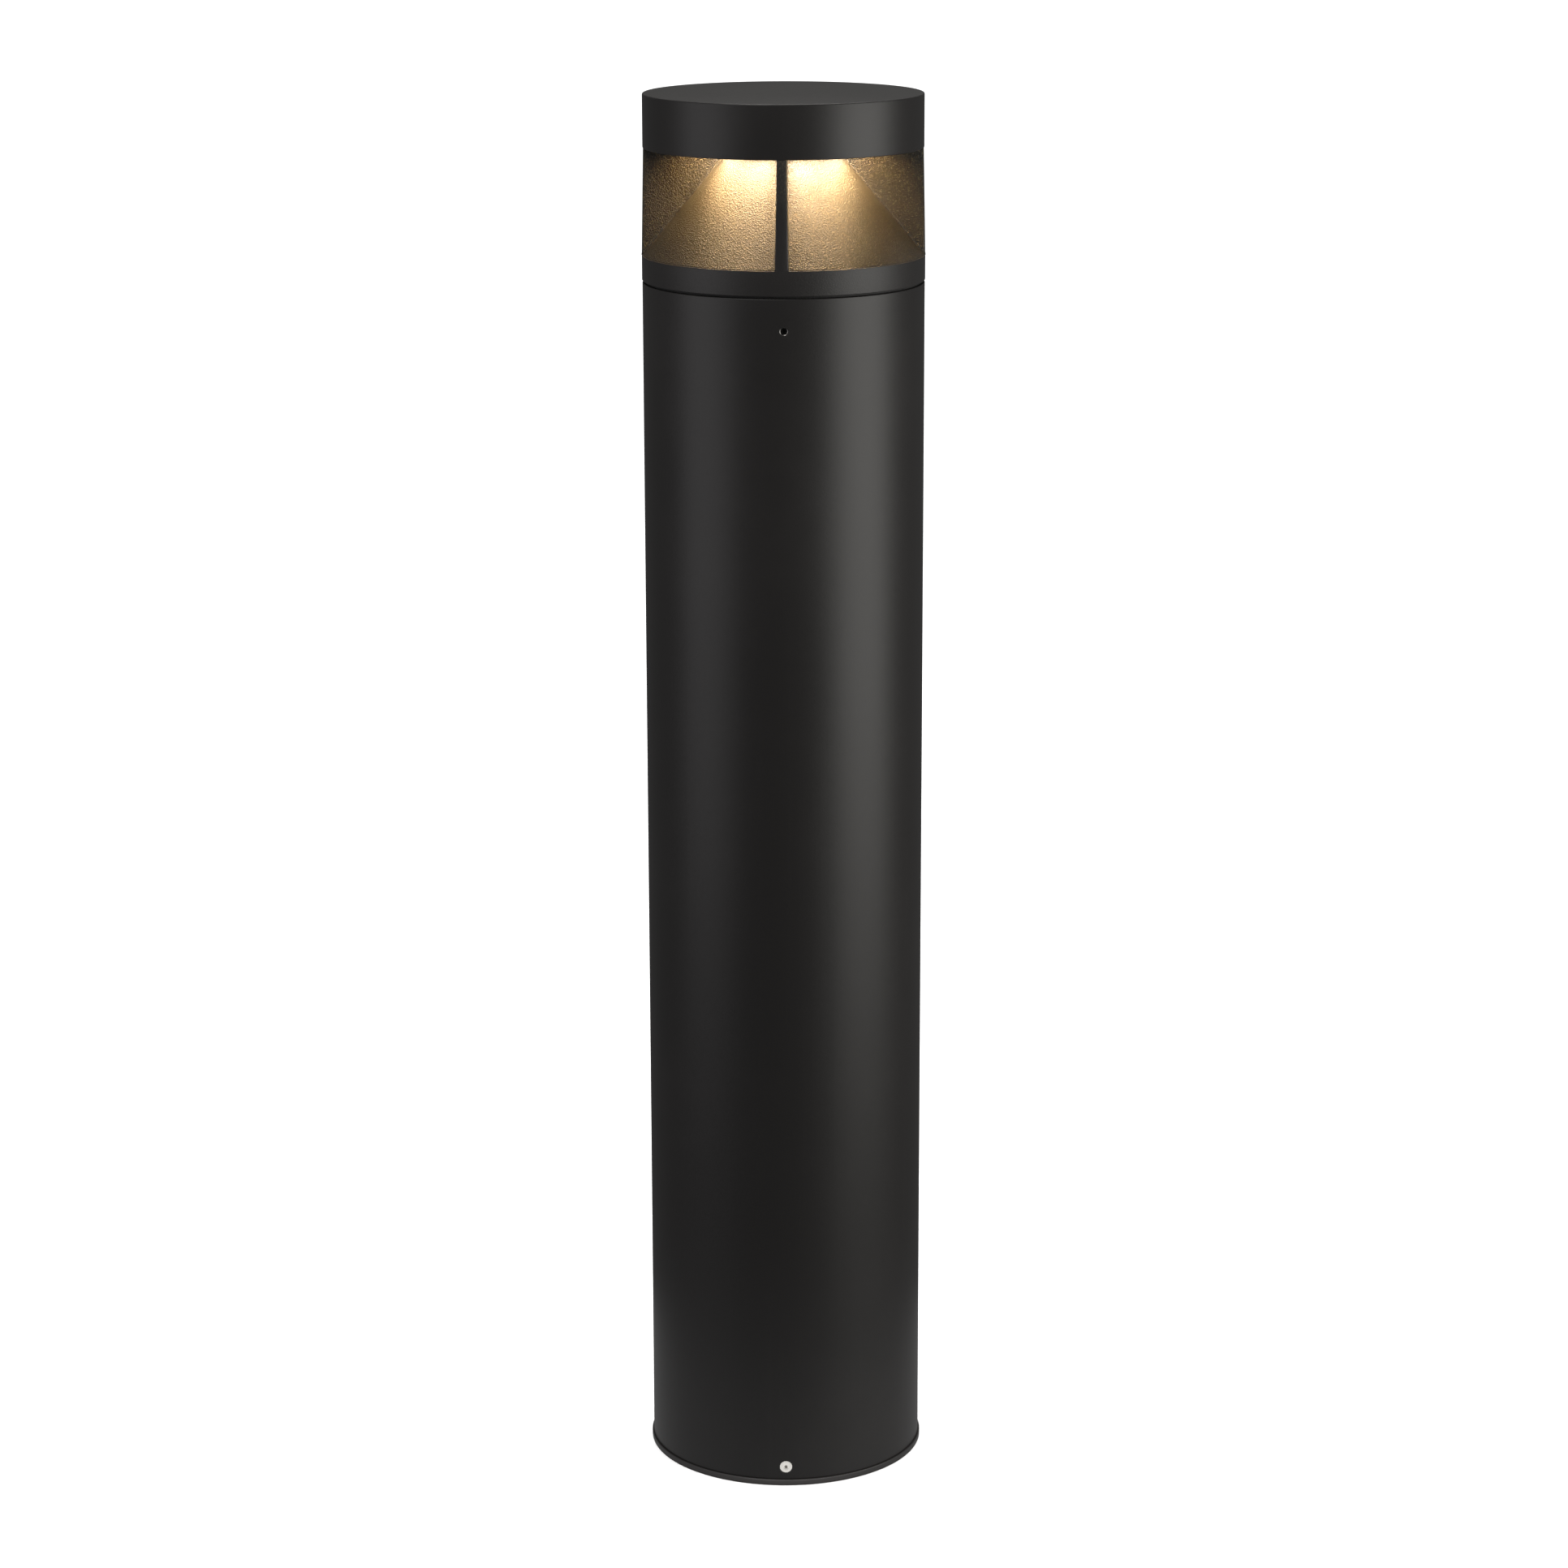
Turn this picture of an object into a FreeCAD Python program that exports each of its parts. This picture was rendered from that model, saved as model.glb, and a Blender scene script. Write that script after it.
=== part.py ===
import FreeCAD, Part
import math
import os

import Sketcher
from FreeCAD import Placement, Rotation, Vector

# Bollard light, 1 m tall, in millimetres.
# Origin: centre of the foot flange's underside. +Z is up, one foot screw faces -Y.
# A tool that opens a face runs 1 or 2 mm past it.

doc = FreeCAD.newDocument("bollard_light")
sheet = doc.addObject("Spreadsheet::Sheet", "Sizes")

driving_sizes = [
    ("overall_height", 1000, "ground to the top of the cap"),
    ("post_dia", 198.5, "outside of the post tube"),
    ("post_wall", 4, "wall of the post tube"),
    ("flange_dia", 201, "foot flange, stands a little proud of the post"),
    ("flange_thick", 4.5, "visible edge of the foot flange"),
    ("floor_thick", 8, "floor of the foot flange round the anchors"),
    ("foot_spigot_height", 22, "foot spigot above the flange"),
    ("foot_spigot_wall", 8, "wall of the foot spigot"),
    ("slide_gap", 0.3, "radial gap of both spigots in the post"),
    ("cable_entry_dia", 60, "cable entry in the floor"),
    ("anchor_circle", 140, "bolt circle of the ground anchors"),
    ("anchor_hole_dia", 11, "holes for M10 anchors"),
    ("foot_screw_height", 14.2, "foot screws above the ground"),
    ("set_screw_drop", 22, "head set screws below the top of the post"),
    ("seal_gap", 1.7, "shadow gap between post and head"),
    ("seal_recess", 2, "seal set back from the post's outside"),
    ("ring_dia", 199, "lower ring of the head casting"),
    ("ring_height", 17.4, "lower ring of the head casting"),
    ("ring_land", 1.5, "flat land round the ring's top"),
    ("window_height", 74.6, "open light band between ring and cap"),
    ("cone_top_dia", 72, "cone where it meets the cap"),
    ("cone_wall", 5, "cone's wall, measured level"),
    ("crown_thick", 6, "flat top of the cone"),
    ("fin_base", 9, "fin thickness at the ring"),
    ("fin_tip", 6.4, "fin thickness at the cap"),
    ("fin_lean", 1.5, "how far a fin's outer edge leans in at the cap"),
    ("fin_root", 2.5, "how deep a fin is sunk in the cone's wall"),
    ("fin_fillet", 0.9, "casting fillet between fin and cone"),
    ("head_spigot_depth", 45, "head spigot below the ring"),
    ("head_spigot_wall", 5, "wall of the head spigot"),
    ("head_turn", -0.8, "how far the clamped head is turned, degrees"),
    ("cap_dia", 196.8, "cap"),
    ("cap_height", 37.4, "cap"),
    ("cap_top_thick", 6, "top of the cap"),
    ("cap_wall", 4, "lower rim of the cap"),
    ("cap_shoulder", 3.25, "width of the gasket shoulder in the cap"),
    ("cap_step", 5, "width of the step the heat plate seats on"),
    ("cap_hub_dia", 68, "hub under the cap's top"),
    ("cap_edge_round", 0.7, "top edge of the cap"),
    ("edge_round", 0.35, "all other outside edges"),
    ("chamber_depth", 15, "cap's underside up to the heat plate"),
    ("frame_thick", 3, "lens frame"),
    ("cap_gasket_thick", 2, "gasket between lens frame and cap"),
    ("window_inner_dia", 88, "lens windows"),
    ("window_outer_dia", 162, "lens windows"),
    ("window_angle", 78, "lens windows, degrees"),
    ("pane_lap", 2.4, "how far a pane laps its window"),
    ("pane_thick", 3, "lens pane"),
    ("lens_gasket_thick", 1, "gasket under a lens pane"),
    ("assembly_gap", 0.3, "clearance between seated parts"),
    ("heat_plate_thick", 4, "heat plate"),
    ("board_thick", 1.6, "round circuit board"),
    ("board_dia", 160, "round circuit board"),
    ("board_bore", 28, "hole in the middle of the board"),
    ("chip_size", 3, "square light source"),
    ("chip_thick", 0.6, "square light source"),
    ("outer_chip_circle", 140, "outer row of light sources"),
    ("inner_chip_circle", 108, "inner row of light sources"),
    ("cap_screw_circle", 56, "bolt circle of the cap screws"),
    ("pillar_dia", 12, "pillars of the lens frame round the cap screws"),
    ("screw_dia", 5, "M5 screws"),
    ("screw_clearance", 0.5, "on the diameter of a clearance hole"),
    ("csk_head_dia", 9.4, "countersunk head"),
    ("csk_inset", 0.15, "countersunk head below the post's surface"),
    ("sink_gap", 0.1, "radial gap round a countersunk head"),
    ("foot_screw_length", 12, "foot screw"),
    ("cap_head_dia", 8.5, "M5 cylinder head"),
    ("cap_head_height", 5, "M5 cylinder head"),
    ("hex_key", 3, "across the flats of a screw's socket"),
    ("csk_socket_depth", 1.8, "socket in a foot screw"),
    ("set_hex_key", 2.5, "across the flats of a set screw's socket"),
    ("set_socket_depth", 1.6, "socket in a set screw"),
    ("thread_depth", 8, "screw held in its tapped hole"),
    ("set_screw_recess", 1.3, "set screw below the post's surface"),
    ("set_screw_gap", 0.1, "set screw's tip to the spigot"),
    ("hole_chamfer", 0.55, "chamfer of the set screw holes"),
    ("small_screw_dia", 4, "M4 screws"),
    ("small_head_dia", 7, "M4 cylinder head"),
    ("small_head_height", 4, "M4 cylinder head"),
    ("lug_dia", 16, "lugs inside the head casting"),
    ("lug_circle", 166, "circle of the lugs"),
    ("lug_height", 30, "lugs inside the head casting"),
    ("gear_plate_thick", 3, "round plate under the lugs"),
    ("gear_plate_drop", 10.7, "gear plate's top below the ring"),
    ("lead_dia", 5, "low voltage lead"),
    ("lead_bend", 9, "bend of the lead at its connector"),
    ("gland_thread_dia", 16, "cable gland M16"),
    ("gland_body_dia", 22, "cable gland M16"),
    ("gland_body_height", 14, "cable gland M16"),
    ("gland_nut_height", 4, "cable gland M16"),
    ("gland_thread_wall", 2, "wall of a gland's thread"),
    ("inlet_bore_dia", 10, "supply cable's passage in the inlet gland"),
    ("grommet_dia", 20, "grommet's lips"),
    ("grommet_lip", 2, "thickness of a lip and depth of the groove"),
    ("connector_length", 10, "plug under the board"),
    ("connector_width", 12, "plug under the board"),
    ("connector_height", 8, "plug under the board"),
    ("tray_width", 100, "gear tray"),
    ("tray_thick", 2, "gear tray sheet"),
    ("tray_length", 257, "gear tray"),
    ("tray_lip", 12, "folded sides of the gear tray"),
    ("tray_screw_inset", 12, "tray screws in from the tray's sides"),
    ("driver_width", 62, "driver"),
    ("driver_depth", 38, "driver"),
    ("driver_length", 150, "driver"),
    ("driver_drop", 15, "driver below the gear plate"),
    ("driver_tab", 12, "fixing tab at each end of the driver"),
    ("driver_tab_thick", 3, "fixing tab at each end of the driver"),
    ("box_width", 84, "terminal box"),
    ("box_height", 62, "terminal box"),
    ("box_wall", 2.5, "terminal box"),
    ("box_drop", 18, "terminal box below the driver"),
    ("box_lid_thick", 3, "terminal box lid"),
    ("block_width", 58, "terminal block"),
    ("block_height", 20, "terminal block"),
    ("block_depth", 16, "terminal block"),
    ("well_dia", 6, "screw wells in the terminal block"),
    ("well_depth", 8, "screw wells in the terminal block"),
    ("well_inset", 6, "screw wells behind the block's front"),
    ("supply_lead_dia", 7, "lead from terminal box to driver"),
    ("stud_dia", 6, "earth stud"),
    ("stud_top", 22, "earth stud above the ground"),
    ("stud_bottom", 1, "earth stud above the ground"),
    ("stud_washer_thick", 1.6, "washer of the earth stud"),
    ("stud_nut_dia", 11.4, "across the corners of the earth stud's nut"),
    ("stud_nut_height", 4.8, "nut of the earth stud"),
]
for row, (alias, number, note) in enumerate(driving_sizes, start=1):
    sheet.set(f"A{row}", note)
    sheet.set(f"B{row}", str(number))
    sheet.setAlias(f"B{row}", alias)
doc.recompute()


def value(expression):
    """The number an expression on the sheet stands for."""
    return float(sheet.evalExpression(expression))


# Levels and radii that several pieces share, as expressions on the sheet.
cap_bottom = "(Sizes.overall_height - Sizes.cap_height)"
ring_top = f"({cap_bottom} - Sizes.window_height)"
ring_bottom = f"({ring_top} - Sizes.ring_height)"
post_top = f"({ring_bottom} - Sizes.seal_gap)"
head_spigot_bottom = f"({ring_bottom} - Sizes.head_spigot_depth)"
gear_plate_top = f"({ring_bottom} - Sizes.gear_plate_drop)"
gear_plate_bottom = f"({gear_plate_top} - Sizes.gear_plate_thick)"
foot_spigot_top = "(Sizes.flange_thick + Sizes.foot_spigot_height)"
heat_plate_bottom = f"({cap_bottom} + Sizes.chamber_depth)"
heat_plate_top = f"({heat_plate_bottom} + Sizes.heat_plate_thick)"
board_bottom = f"({heat_plate_bottom} - Sizes.board_thick)"

post_radius = "(Sizes.post_dia / 2)"
post_bore_radius = f"({post_radius} - Sizes.post_wall)"
spigot_radius = f"({post_bore_radius} - Sizes.slide_gap)"
foot_bore_radius = f"({spigot_radius} - Sizes.foot_spigot_wall)"
head_bore_radius = f"({spigot_radius} - Sizes.head_spigot_wall)"
ring_radius = "(Sizes.ring_dia / 2)"
cone_base_radius = f"({ring_radius} - Sizes.ring_land)"
cone_top_radius = "(Sizes.cone_top_dia / 2)"
cone_slope = f"(({cone_base_radius} - {cone_top_radius}) / Sizes.window_height)"
cap_radius = "(Sizes.cap_dia / 2)"
cap_bore_radius = f"({cap_radius} - Sizes.cap_wall)"
chamber_radius = f"({cap_bore_radius} - Sizes.cap_shoulder)"
csk_head_height = "((Sizes.csk_head_dia - Sizes.screw_dia) / 2)"
clear_dia = "(Sizes.screw_dia + Sizes.screw_clearance)"
small_clear_dia = "(Sizes.small_screw_dia + Sizes.screw_clearance)"

side_angles = [-90, 30, 150]      # screws round the post, one at the front
quarter_angles = [0, 90, 180, 270]
between_angles = [45, 135, 225, 315]
chip_rows = [    # circle, light sources in a quarter, degrees from one to the next
    ("Sizes.outer_chip_circle", 6, 11),
    ("Sizes.inner_chip_circle", 4, 14),
]
poles = 5                         # of the terminal block
up = Vector(0, 0, 1)

nodes = []


# ---------------------------------------------------------------- helpers
def place(piece, x="0", y="0", z="0", rotation=None):
    """Turns a piece, then binds the place of its origin to the sheet."""
    if rotation is not None:
        piece.Placement = Placement(Vector(), rotation)
    for axis, expression in zip("xyz", (x, y, z)):
        if expression != "0":
            piece.setExpression(f"Placement.Base.{axis}", expression)
    return piece


def make(kind, name, x="0", y="0", z="0", rotation=None, **sizes):
    """One Part primitive with its sizes and place bound to the sheet."""
    piece = doc.addObject(f"Part::{kind}", name)
    for size_name, expression in sizes.items():
        piece.setExpression(size_name, expression)
    return place(piece, x, y, z, rotation)


def block(name, width, depth, height, x="0", y="0", z="0"):
    """A box centred on x and y that stands on z."""
    return make("Box", name, f"{x} - ({width}) / 2", f"{y} - ({depth}) / 2", z,
                Length=width, Width=depth, Height=height)


def rod(name, radius, height, x="0", y="0", z="0", rotation=None):
    return make("Cylinder", name, x, y, z, rotation, Radius=radius, Height=height)


def fuse(name, pieces):
    joined = doc.addObject("Part::MultiFuse", name)
    joined.Shapes = pieces
    return joined


def cut(name, base, tools):
    left = doc.addObject("Part::Cut", name)
    left.Base = base
    left.Tool = tools[0] if len(tools) == 1 else fuse(name + "_tools", tools)
    return left


def group(name, pieces):
    several = doc.addObject("Part::Compound", name)
    several.Links = pieces
    return several


def outline_sketch(body, name, plane_role, points):
    """A closed outline of straight lines whose corners are bound to the sheet."""
    sketch = body.newObject("Sketcher::SketchObject", name)
    plane = next(item for item in body.Origin.OriginFeatures if item.Role == plane_role)
    sketch.AttachmentSupport = [(plane, "")]
    sketch.MapMode = "FlatFace"
    corners = [Vector(value(across), value(along), 0) for across, along in points]
    for start, end in zip(corners, corners[1:] + corners[:1]):
        sketch.addGeometry(Part.LineSegment(start, end))
    for line in range(len(points)):
        following = (line + 1) % len(points)
        sketch.addConstraint(Sketcher.Constraint("Coincident", line, 2, following, 1))
    for line, (corner, expressions) in enumerate(zip(corners, points)):
        for kind, coordinate, expression, axis in (
            ("DistanceX", corner.x, expressions[0], -2),
            ("DistanceY", corner.y, expressions[1], -1),
        ):
            if coordinate == 0:
                sketch.addConstraint(Sketcher.Constraint("PointOnObject", line, 1, axis))
                continue
            index = sketch.addConstraint(
                Sketcher.Constraint(kind, -1, 1, line, 1, coordinate))
            sketch.setExpression(f"Constraints[{index}]", expression)
    return sketch


def turned(name, points):
    """A body turned about Z from an outline of (radius, height)."""
    body = doc.addObject("PartDesign::Body", name)
    sketch = outline_sketch(body, name + "_outline", "XZ_Plane", points)
    turn = body.newObject("PartDesign::Revolution", name + "_turn")
    turn.Profile = sketch
    turn.ReferenceAxis = (sketch, ["V_Axis"])
    turn.Angle = 360
    body.Tip = turn
    doc.recompute()
    return body


def ring(name, inner, outer, bottom, top):
    return turned(name, [(inner, bottom), (outer, bottom), (outer, top), (inner, top)])


def round_edges(body, name, radius, circles):
    """Rounds the circular edges given as (radius, height)."""
    wanted = [(value(edge_radius), value(height)) for edge_radius, height in circles]
    edges = []
    for index, edge in enumerate(body.Shape.Edges, start=1):
        curve = edge.Curve
        if not isinstance(curve, Part.Circle):
            continue
        for edge_radius, height in wanted:
            same_size = abs(curve.Radius - edge_radius) < 1e-4
            if same_size and abs(curve.Center.z - height) < 1e-4:
                edges.append(f"Edge{index}")
    base = body.Tip
    fillet = body.newObject("PartDesign::Fillet", name)
    fillet.Base = (base, edges)
    fillet.setExpression("Radius", radius)
    body.Tip = fillet
    doc.recompute()
    return body


def bore_pattern(body, name, circle, diameter, count, first_angle):
    """Straight holes through a turned body, patterned round Z."""
    sketch = body.newObject("Sketcher::SketchObject", name + "_sketch")
    plane = next(item for item in body.Origin.OriginFeatures if item.Role == "XY_Plane")
    sketch.AttachmentSupport = [(plane, "")]
    sketch.MapMode = "FlatFace"
    across = f"{circle} / 2 * cos({first_angle})"
    along = f"{circle} / 2 * sin({first_angle})"
    centre = Vector(value(across), value(along), 0)
    sketch.addGeometry(Part.Circle(centre, up, value(diameter) / 2))
    for kind, number, expression in (
        ("DistanceX", centre.x, across),
        ("DistanceY", centre.y, along),
    ):
        index = sketch.addConstraint(Sketcher.Constraint(kind, -1, 1, 0, 3, number))
        sketch.setExpression(f"Constraints[{index}]", expression)
    index = sketch.addConstraint(Sketcher.Constraint("Diameter", 0, value(diameter)))
    sketch.setExpression(f"Constraints[{index}]", diameter)
    solid_before = body.Shape.Volume
    pocket = body.newObject("PartDesign::Pocket", name)
    pocket.Profile = sketch
    pocket.Type = "ThroughAll"
    pocket.Reversed = True
    body.Tip = pocket
    doc.recompute()
    pattern = body.newObject("PartDesign::PolarPattern", name + "_pattern")
    pattern.Originals = [pocket]
    pattern.Axis = (sketch, ["N_Axis"])
    pattern.Angle = 360
    pattern.Occurrences = count
    body.Tip = pattern
    doc.recompute()
    if body.Shape.Volume >= solid_before:
        raise RuntimeError(name + " removed nothing")
    return body


def around(angle):
    return Rotation(up, angle)


def outward(angle):
    """Turns +Z to point away from the axis at this angle."""
    return Rotation(up, angle).multiply(Rotation(Vector(0, 1, 0), 90))


def polar(circle, angle):
    """Expressions for a point on a circle, given by the circle's diameter."""
    return f"{circle} / 2 * cos({angle})", f"{circle} / 2 * sin({angle})"


def radial_rod(name, angle, radius, inner, outer, height):
    """A cylinder along a radius of the post, between two distances from its axis."""
    return rod(name, radius, f"{outer} - {inner}",
               f"{inner} * cos({angle})", f"{inner} * sin({angle})", height,
               outward(angle))


def socket(name, depth, key):
    """The hexagon recess in a screw's top face, which lies at zero."""
    return make("Prism", name, z=f"-{depth}", Circumradius=f"{key} / sqrt(3)",
                Height=f"{depth} + 1")


def cylinder_screw(name, diameter, length, head_dia, head_height, key):
    """Cylinder head above zero, shank below, socket in the head."""
    shank = rod(name + "_shank", f"{diameter} / 2", f"{length}", z=f"-({length})")
    head = rod(name + "_head", f"{head_dia} / 2", head_height)
    recess = make("Prism", name + "_socket", z=f"{head_height} / 2",
                  Circumradius=f"{key} / sqrt(3)", Height=head_height)
    return cut(name, fuse(name + "_solid", [shank, head]), [recess])


def finish(piece, label, in_head=False):
    """Names the sub-part; what belongs to the head turns with it."""
    piece.Label = label
    if in_head:
        piece.Placement = Placement(Vector(), Rotation(up, value("Sizes.head_turn")))
        piece.setExpression("Placement.Rotation.Angle", "Sizes.head_turn")
    nodes.append(piece)
    return piece


# ---------------------------------------------------------------- foot
def foot_flange():
    """Floor plate with the cable entry and the anchor holes."""
    body = turned("foot_body", [
        ("Sizes.cable_entry_dia / 2", "0"),
        ("Sizes.flange_dia / 2", "0"),
        ("Sizes.flange_dia / 2", "Sizes.flange_thick"),
        (foot_bore_radius, "Sizes.flange_thick"),
        (foot_bore_radius, "Sizes.floor_thick"),
        ("Sizes.cable_entry_dia / 2", "Sizes.floor_thick"),
    ])
    round_edges(body, "foot_rounds", "Sizes.edge_round", [
        ("Sizes.flange_dia / 2", "0"),
        ("Sizes.flange_dia / 2", "Sizes.flange_thick"),
    ])
    bore_pattern(body, "anchor_holes", "Sizes.anchor_circle", "Sizes.anchor_hole_dia",
                 len(quarter_angles), 45)
    stud_hole = rod("stud_hole", "Sizes.stud_dia / 2", "Sizes.floor_thick",
                    x="Sizes.anchor_circle / 2")
    finish(cut("foot", body, [stud_hole]), "base_flange")


def foot_spigot():
    """Ring welded round the floor plate that the post stands over."""
    body = ring("spigot_body", foot_bore_radius, spigot_radius, "Sizes.flange_thick",
                foot_spigot_top)
    threads = [
        radial_rod(f"foot_thread_{index}", angle, "Sizes.screw_dia / 2",
                   f"({foot_bore_radius} - 1)", f"({spigot_radius} + 1)",
                   "Sizes.foot_screw_height")
        for index, angle in enumerate(side_angles)
    ]
    finish(cut("spigot", body, threads), "foot_spigot")


def foot_screws():
    screws = []
    for index, angle in enumerate(side_angles):
        name = f"foot_screw_{index}"
        head = make("Cone", name + "_head", z=f"-{csk_head_height}", Height=csk_head_height,
                    Radius1="Sizes.screw_dia / 2", Radius2="Sizes.csk_head_dia / 2")
        shank = rod(name + "_shank", "Sizes.screw_dia / 2", "Sizes.foot_screw_length",
                    z="-Sizes.foot_screw_length")
        recess = socket(name + "_socket", "Sizes.csk_socket_depth", "Sizes.hex_key")
        screw = cut(name, fuse(name + "_solid", [head, shank]), [recess])
        reach = f"({post_radius} - Sizes.csk_inset)"
        screws.append(place(screw, f"{reach} * cos({angle})", f"{reach} * sin({angle})",
                            "Sizes.foot_screw_height", outward(angle)))
    finish(group("foot_screw_set", screws), "foot_screws")


def earth_stud():
    """Brass stud with a hexagon nut and a washer on the floor of the foot."""
    at = "Sizes.anchor_circle / 2"
    stud = rod("stud_rod", "Sizes.stud_dia / 2", "Sizes.stud_top - Sizes.stud_bottom",
               x=at, z="Sizes.stud_bottom")
    washer = rod("stud_washer", "Sizes.stud_dia", "Sizes.stud_washer_thick",
                 x=at, z="Sizes.floor_thick")
    nut = make("Prism", "stud_nut", at, "0", "Sizes.floor_thick + Sizes.stud_washer_thick",
               Circumradius="Sizes.stud_nut_dia / 2", Height="Sizes.stud_nut_height")
    finish(fuse("stud", [stud, washer, nut]), "earth_stud")


# ---------------------------------------------------------------- post
def post_tube():
    body = ring("post_body", post_bore_radius, post_radius, "Sizes.flange_thick", post_top)
    round_edges(body, "post_rounds", "Sizes.edge_round",
                [(post_radius, "Sizes.flange_thick"), (post_radius, post_top)])
    cutters = []
    inside = f"({post_bore_radius} - 2)"
    outside = f"({post_radius} + 2)"
    for index, angle in enumerate(side_angles):
        cutters.append(radial_rod(f"foot_hole_{index}", angle, f"{clear_dia} / 2",
                                  inside, outside, "Sizes.foot_screw_height"))
        sink_depth = f"({csk_head_height} + Sizes.csk_inset)"
        start = f"({post_radius} - {sink_depth})"
        cutters.append(make(
            "Cone", f"foot_sink_{index}", f"{start} * cos({angle})",
            f"{start} * sin({angle})", "Sizes.foot_screw_height", outward(angle),
            Radius1="Sizes.screw_dia / 2 + Sizes.sink_gap", Height=f"{sink_depth} + 2",
            Radius2=f"Sizes.screw_dia / 2 + Sizes.sink_gap + {sink_depth} + 2"))
        drop = f"({post_top} - Sizes.set_screw_drop)"
        cutters.append(radial_rod(f"set_hole_{index}", angle, "Sizes.screw_dia / 2",
                                  inside, outside, drop))
        start = f"({post_radius} - Sizes.hole_chamfer)"
        cutters.append(make(
            "Cone", f"set_sink_{index}", f"{start} * cos({angle})",
            f"{start} * sin({angle})", drop, outward(angle),
            Radius1="Sizes.screw_dia / 2", Height="Sizes.hole_chamfer + 2",
            Radius2="Sizes.screw_dia / 2 + Sizes.hole_chamfer + 2"))
    finish(cut("post", body, cutters), "post_tube")


def head_set_screws():
    tip = f"({spigot_radius} + Sizes.set_screw_gap)"
    end = f"({post_radius} - Sizes.set_screw_recess)"
    screws = []
    for index, angle in enumerate(side_angles):
        name = f"set_screw_{index}"
        shank = rod(name + "_shank", "Sizes.screw_dia / 2", f"{end} - {tip}",
                    z=f"-({end} - {tip})")
        recess = socket(name + "_socket", "Sizes.set_socket_depth", "Sizes.set_hex_key")
        screw = cut(name, shank, [recess])
        screws.append(place(screw, f"{end} * cos({angle})", f"{end} * sin({angle})",
                            f"{post_top} - Sizes.set_screw_drop", outward(angle)))
    finish(group("set_screw_set", screws), "head_set_screws")


def post_seal():
    finish(ring("seal", post_bore_radius, f"({post_radius} - Sizes.seal_recess)",
                post_top, ring_bottom), "post_seal")


# ---------------------------------------------------------------- head
def fin(index, angle):
    """One drafted fin, from inside the cone's wall to beyond the ring."""
    standing = around(angle).multiply(Rotation(Vector(1, 0, 0), 90))
    return make(
        "Wedge", f"fin_{index}", z=ring_top, rotation=standing,
        Xmin=f"{cone_base_radius} - Sizes.fin_root", Xmax=f"{ring_radius} + 3",
        Ymin="0", Ymax="Sizes.window_height",
        Zmin="-Sizes.fin_base / 2", Zmax="Sizes.fin_base / 2",
        X2min=f"{cone_top_radius} - Sizes.fin_root", X2max=f"{ring_radius} + 3",
        Z2min="-Sizes.fin_tip / 2", Z2max="Sizes.fin_tip / 2")


def on_cone(point):
    """Whether a point lies on the cone's outer face."""
    level = point.z - value(ring_top)
    radius = value(cone_base_radius) - value(cone_slope) * level
    return abs(math.hypot(point.x, point.y) - radius) < 1e-3


def head_casting():
    """Ring, cone, fins and spigot in one casting."""
    crown_bottom = f"({cap_bottom} - Sizes.crown_thick)"
    cone_wall_top = f"({cone_top_radius} + {cone_slope} * Sizes.crown_thick - Sizes.cone_wall)"
    cone_foot = (f"({ring_top} + ({cone_base_radius} - Sizes.cone_wall - {head_bore_radius})"
                 f" / {cone_slope})")
    gland_hole = "Sizes.gland_thread_dia / 2 + Sizes.assembly_gap / 2"
    body = turned("casting_body", [
        (spigot_radius, head_spigot_bottom),
        (spigot_radius, ring_bottom),
        (ring_radius, ring_bottom),
        (ring_radius, ring_top),
        (cone_base_radius, ring_top),
        (cone_top_radius, cap_bottom),
        (gland_hole, cap_bottom),
        (gland_hole, crown_bottom),
        (cone_wall_top, crown_bottom),
        (head_bore_radius, cone_foot),
        (head_bore_radius, head_spigot_bottom),
    ])
    round_edges(body, "casting_rounds", "Sizes.edge_round", [(ring_radius, ring_bottom)])
    fins = fuse("fins", [fin(index, angle) for index, angle in enumerate(quarter_angles)])
    envelope = make("Cone", "fin_envelope", z=ring_top, Height="Sizes.window_height",
                    Radius1=ring_radius, Radius2=f"{ring_radius} - Sizes.fin_lean")
    trimmed = doc.addObject("Part::Common", "trimmed_fins")
    trimmed.Base = fins
    trimmed.Tool = envelope
    lugs = []
    holes = []
    for index, angle in enumerate(between_angles):
        x, y = polar("Sizes.lug_circle", angle)
        lugs.append(rod(f"lug_{index}", "Sizes.lug_dia / 2", "Sizes.lug_height",
                        x, y, gear_plate_top))
        holes.append(rod(f"lug_hole_{index}", "Sizes.small_screw_dia / 2",
                         "Sizes.thread_depth + 2", x, y, gear_plate_top))
        x, y = polar("Sizes.cap_screw_circle", angle)
        holes.append(rod(f"crown_hole_{index}", f"{clear_dia} / 2",
                         "Sizes.crown_thick + 2", x, y, f"{crown_bottom} - 1"))
    casting = cut("casting", fuse("casting_solid", [body, trimmed] + lugs), holes)
    doc.recompute()

    fillet_radius = min(value("Sizes.fin_fillet"), 0.6 * value("Sizes.ring_land"))
    edges = []
    for index, edge in enumerate(casting.Shape.Edges, start=1):
        middle = edge.valueAt((edge.FirstParameter + edge.LastParameter) / 2)
        if isinstance(edge.Curve, Part.Hyperbola) and on_cone(middle):
            edges.append((index, fillet_radius, fillet_radius))
    print("fin fillets:", len(edges))
    filleted = doc.addObject("Part::Fillet", "casting_fillets")
    filleted.Base = casting
    filleted.Edges = edges
    finish(filleted, "head_casting", in_head=True)


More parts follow.
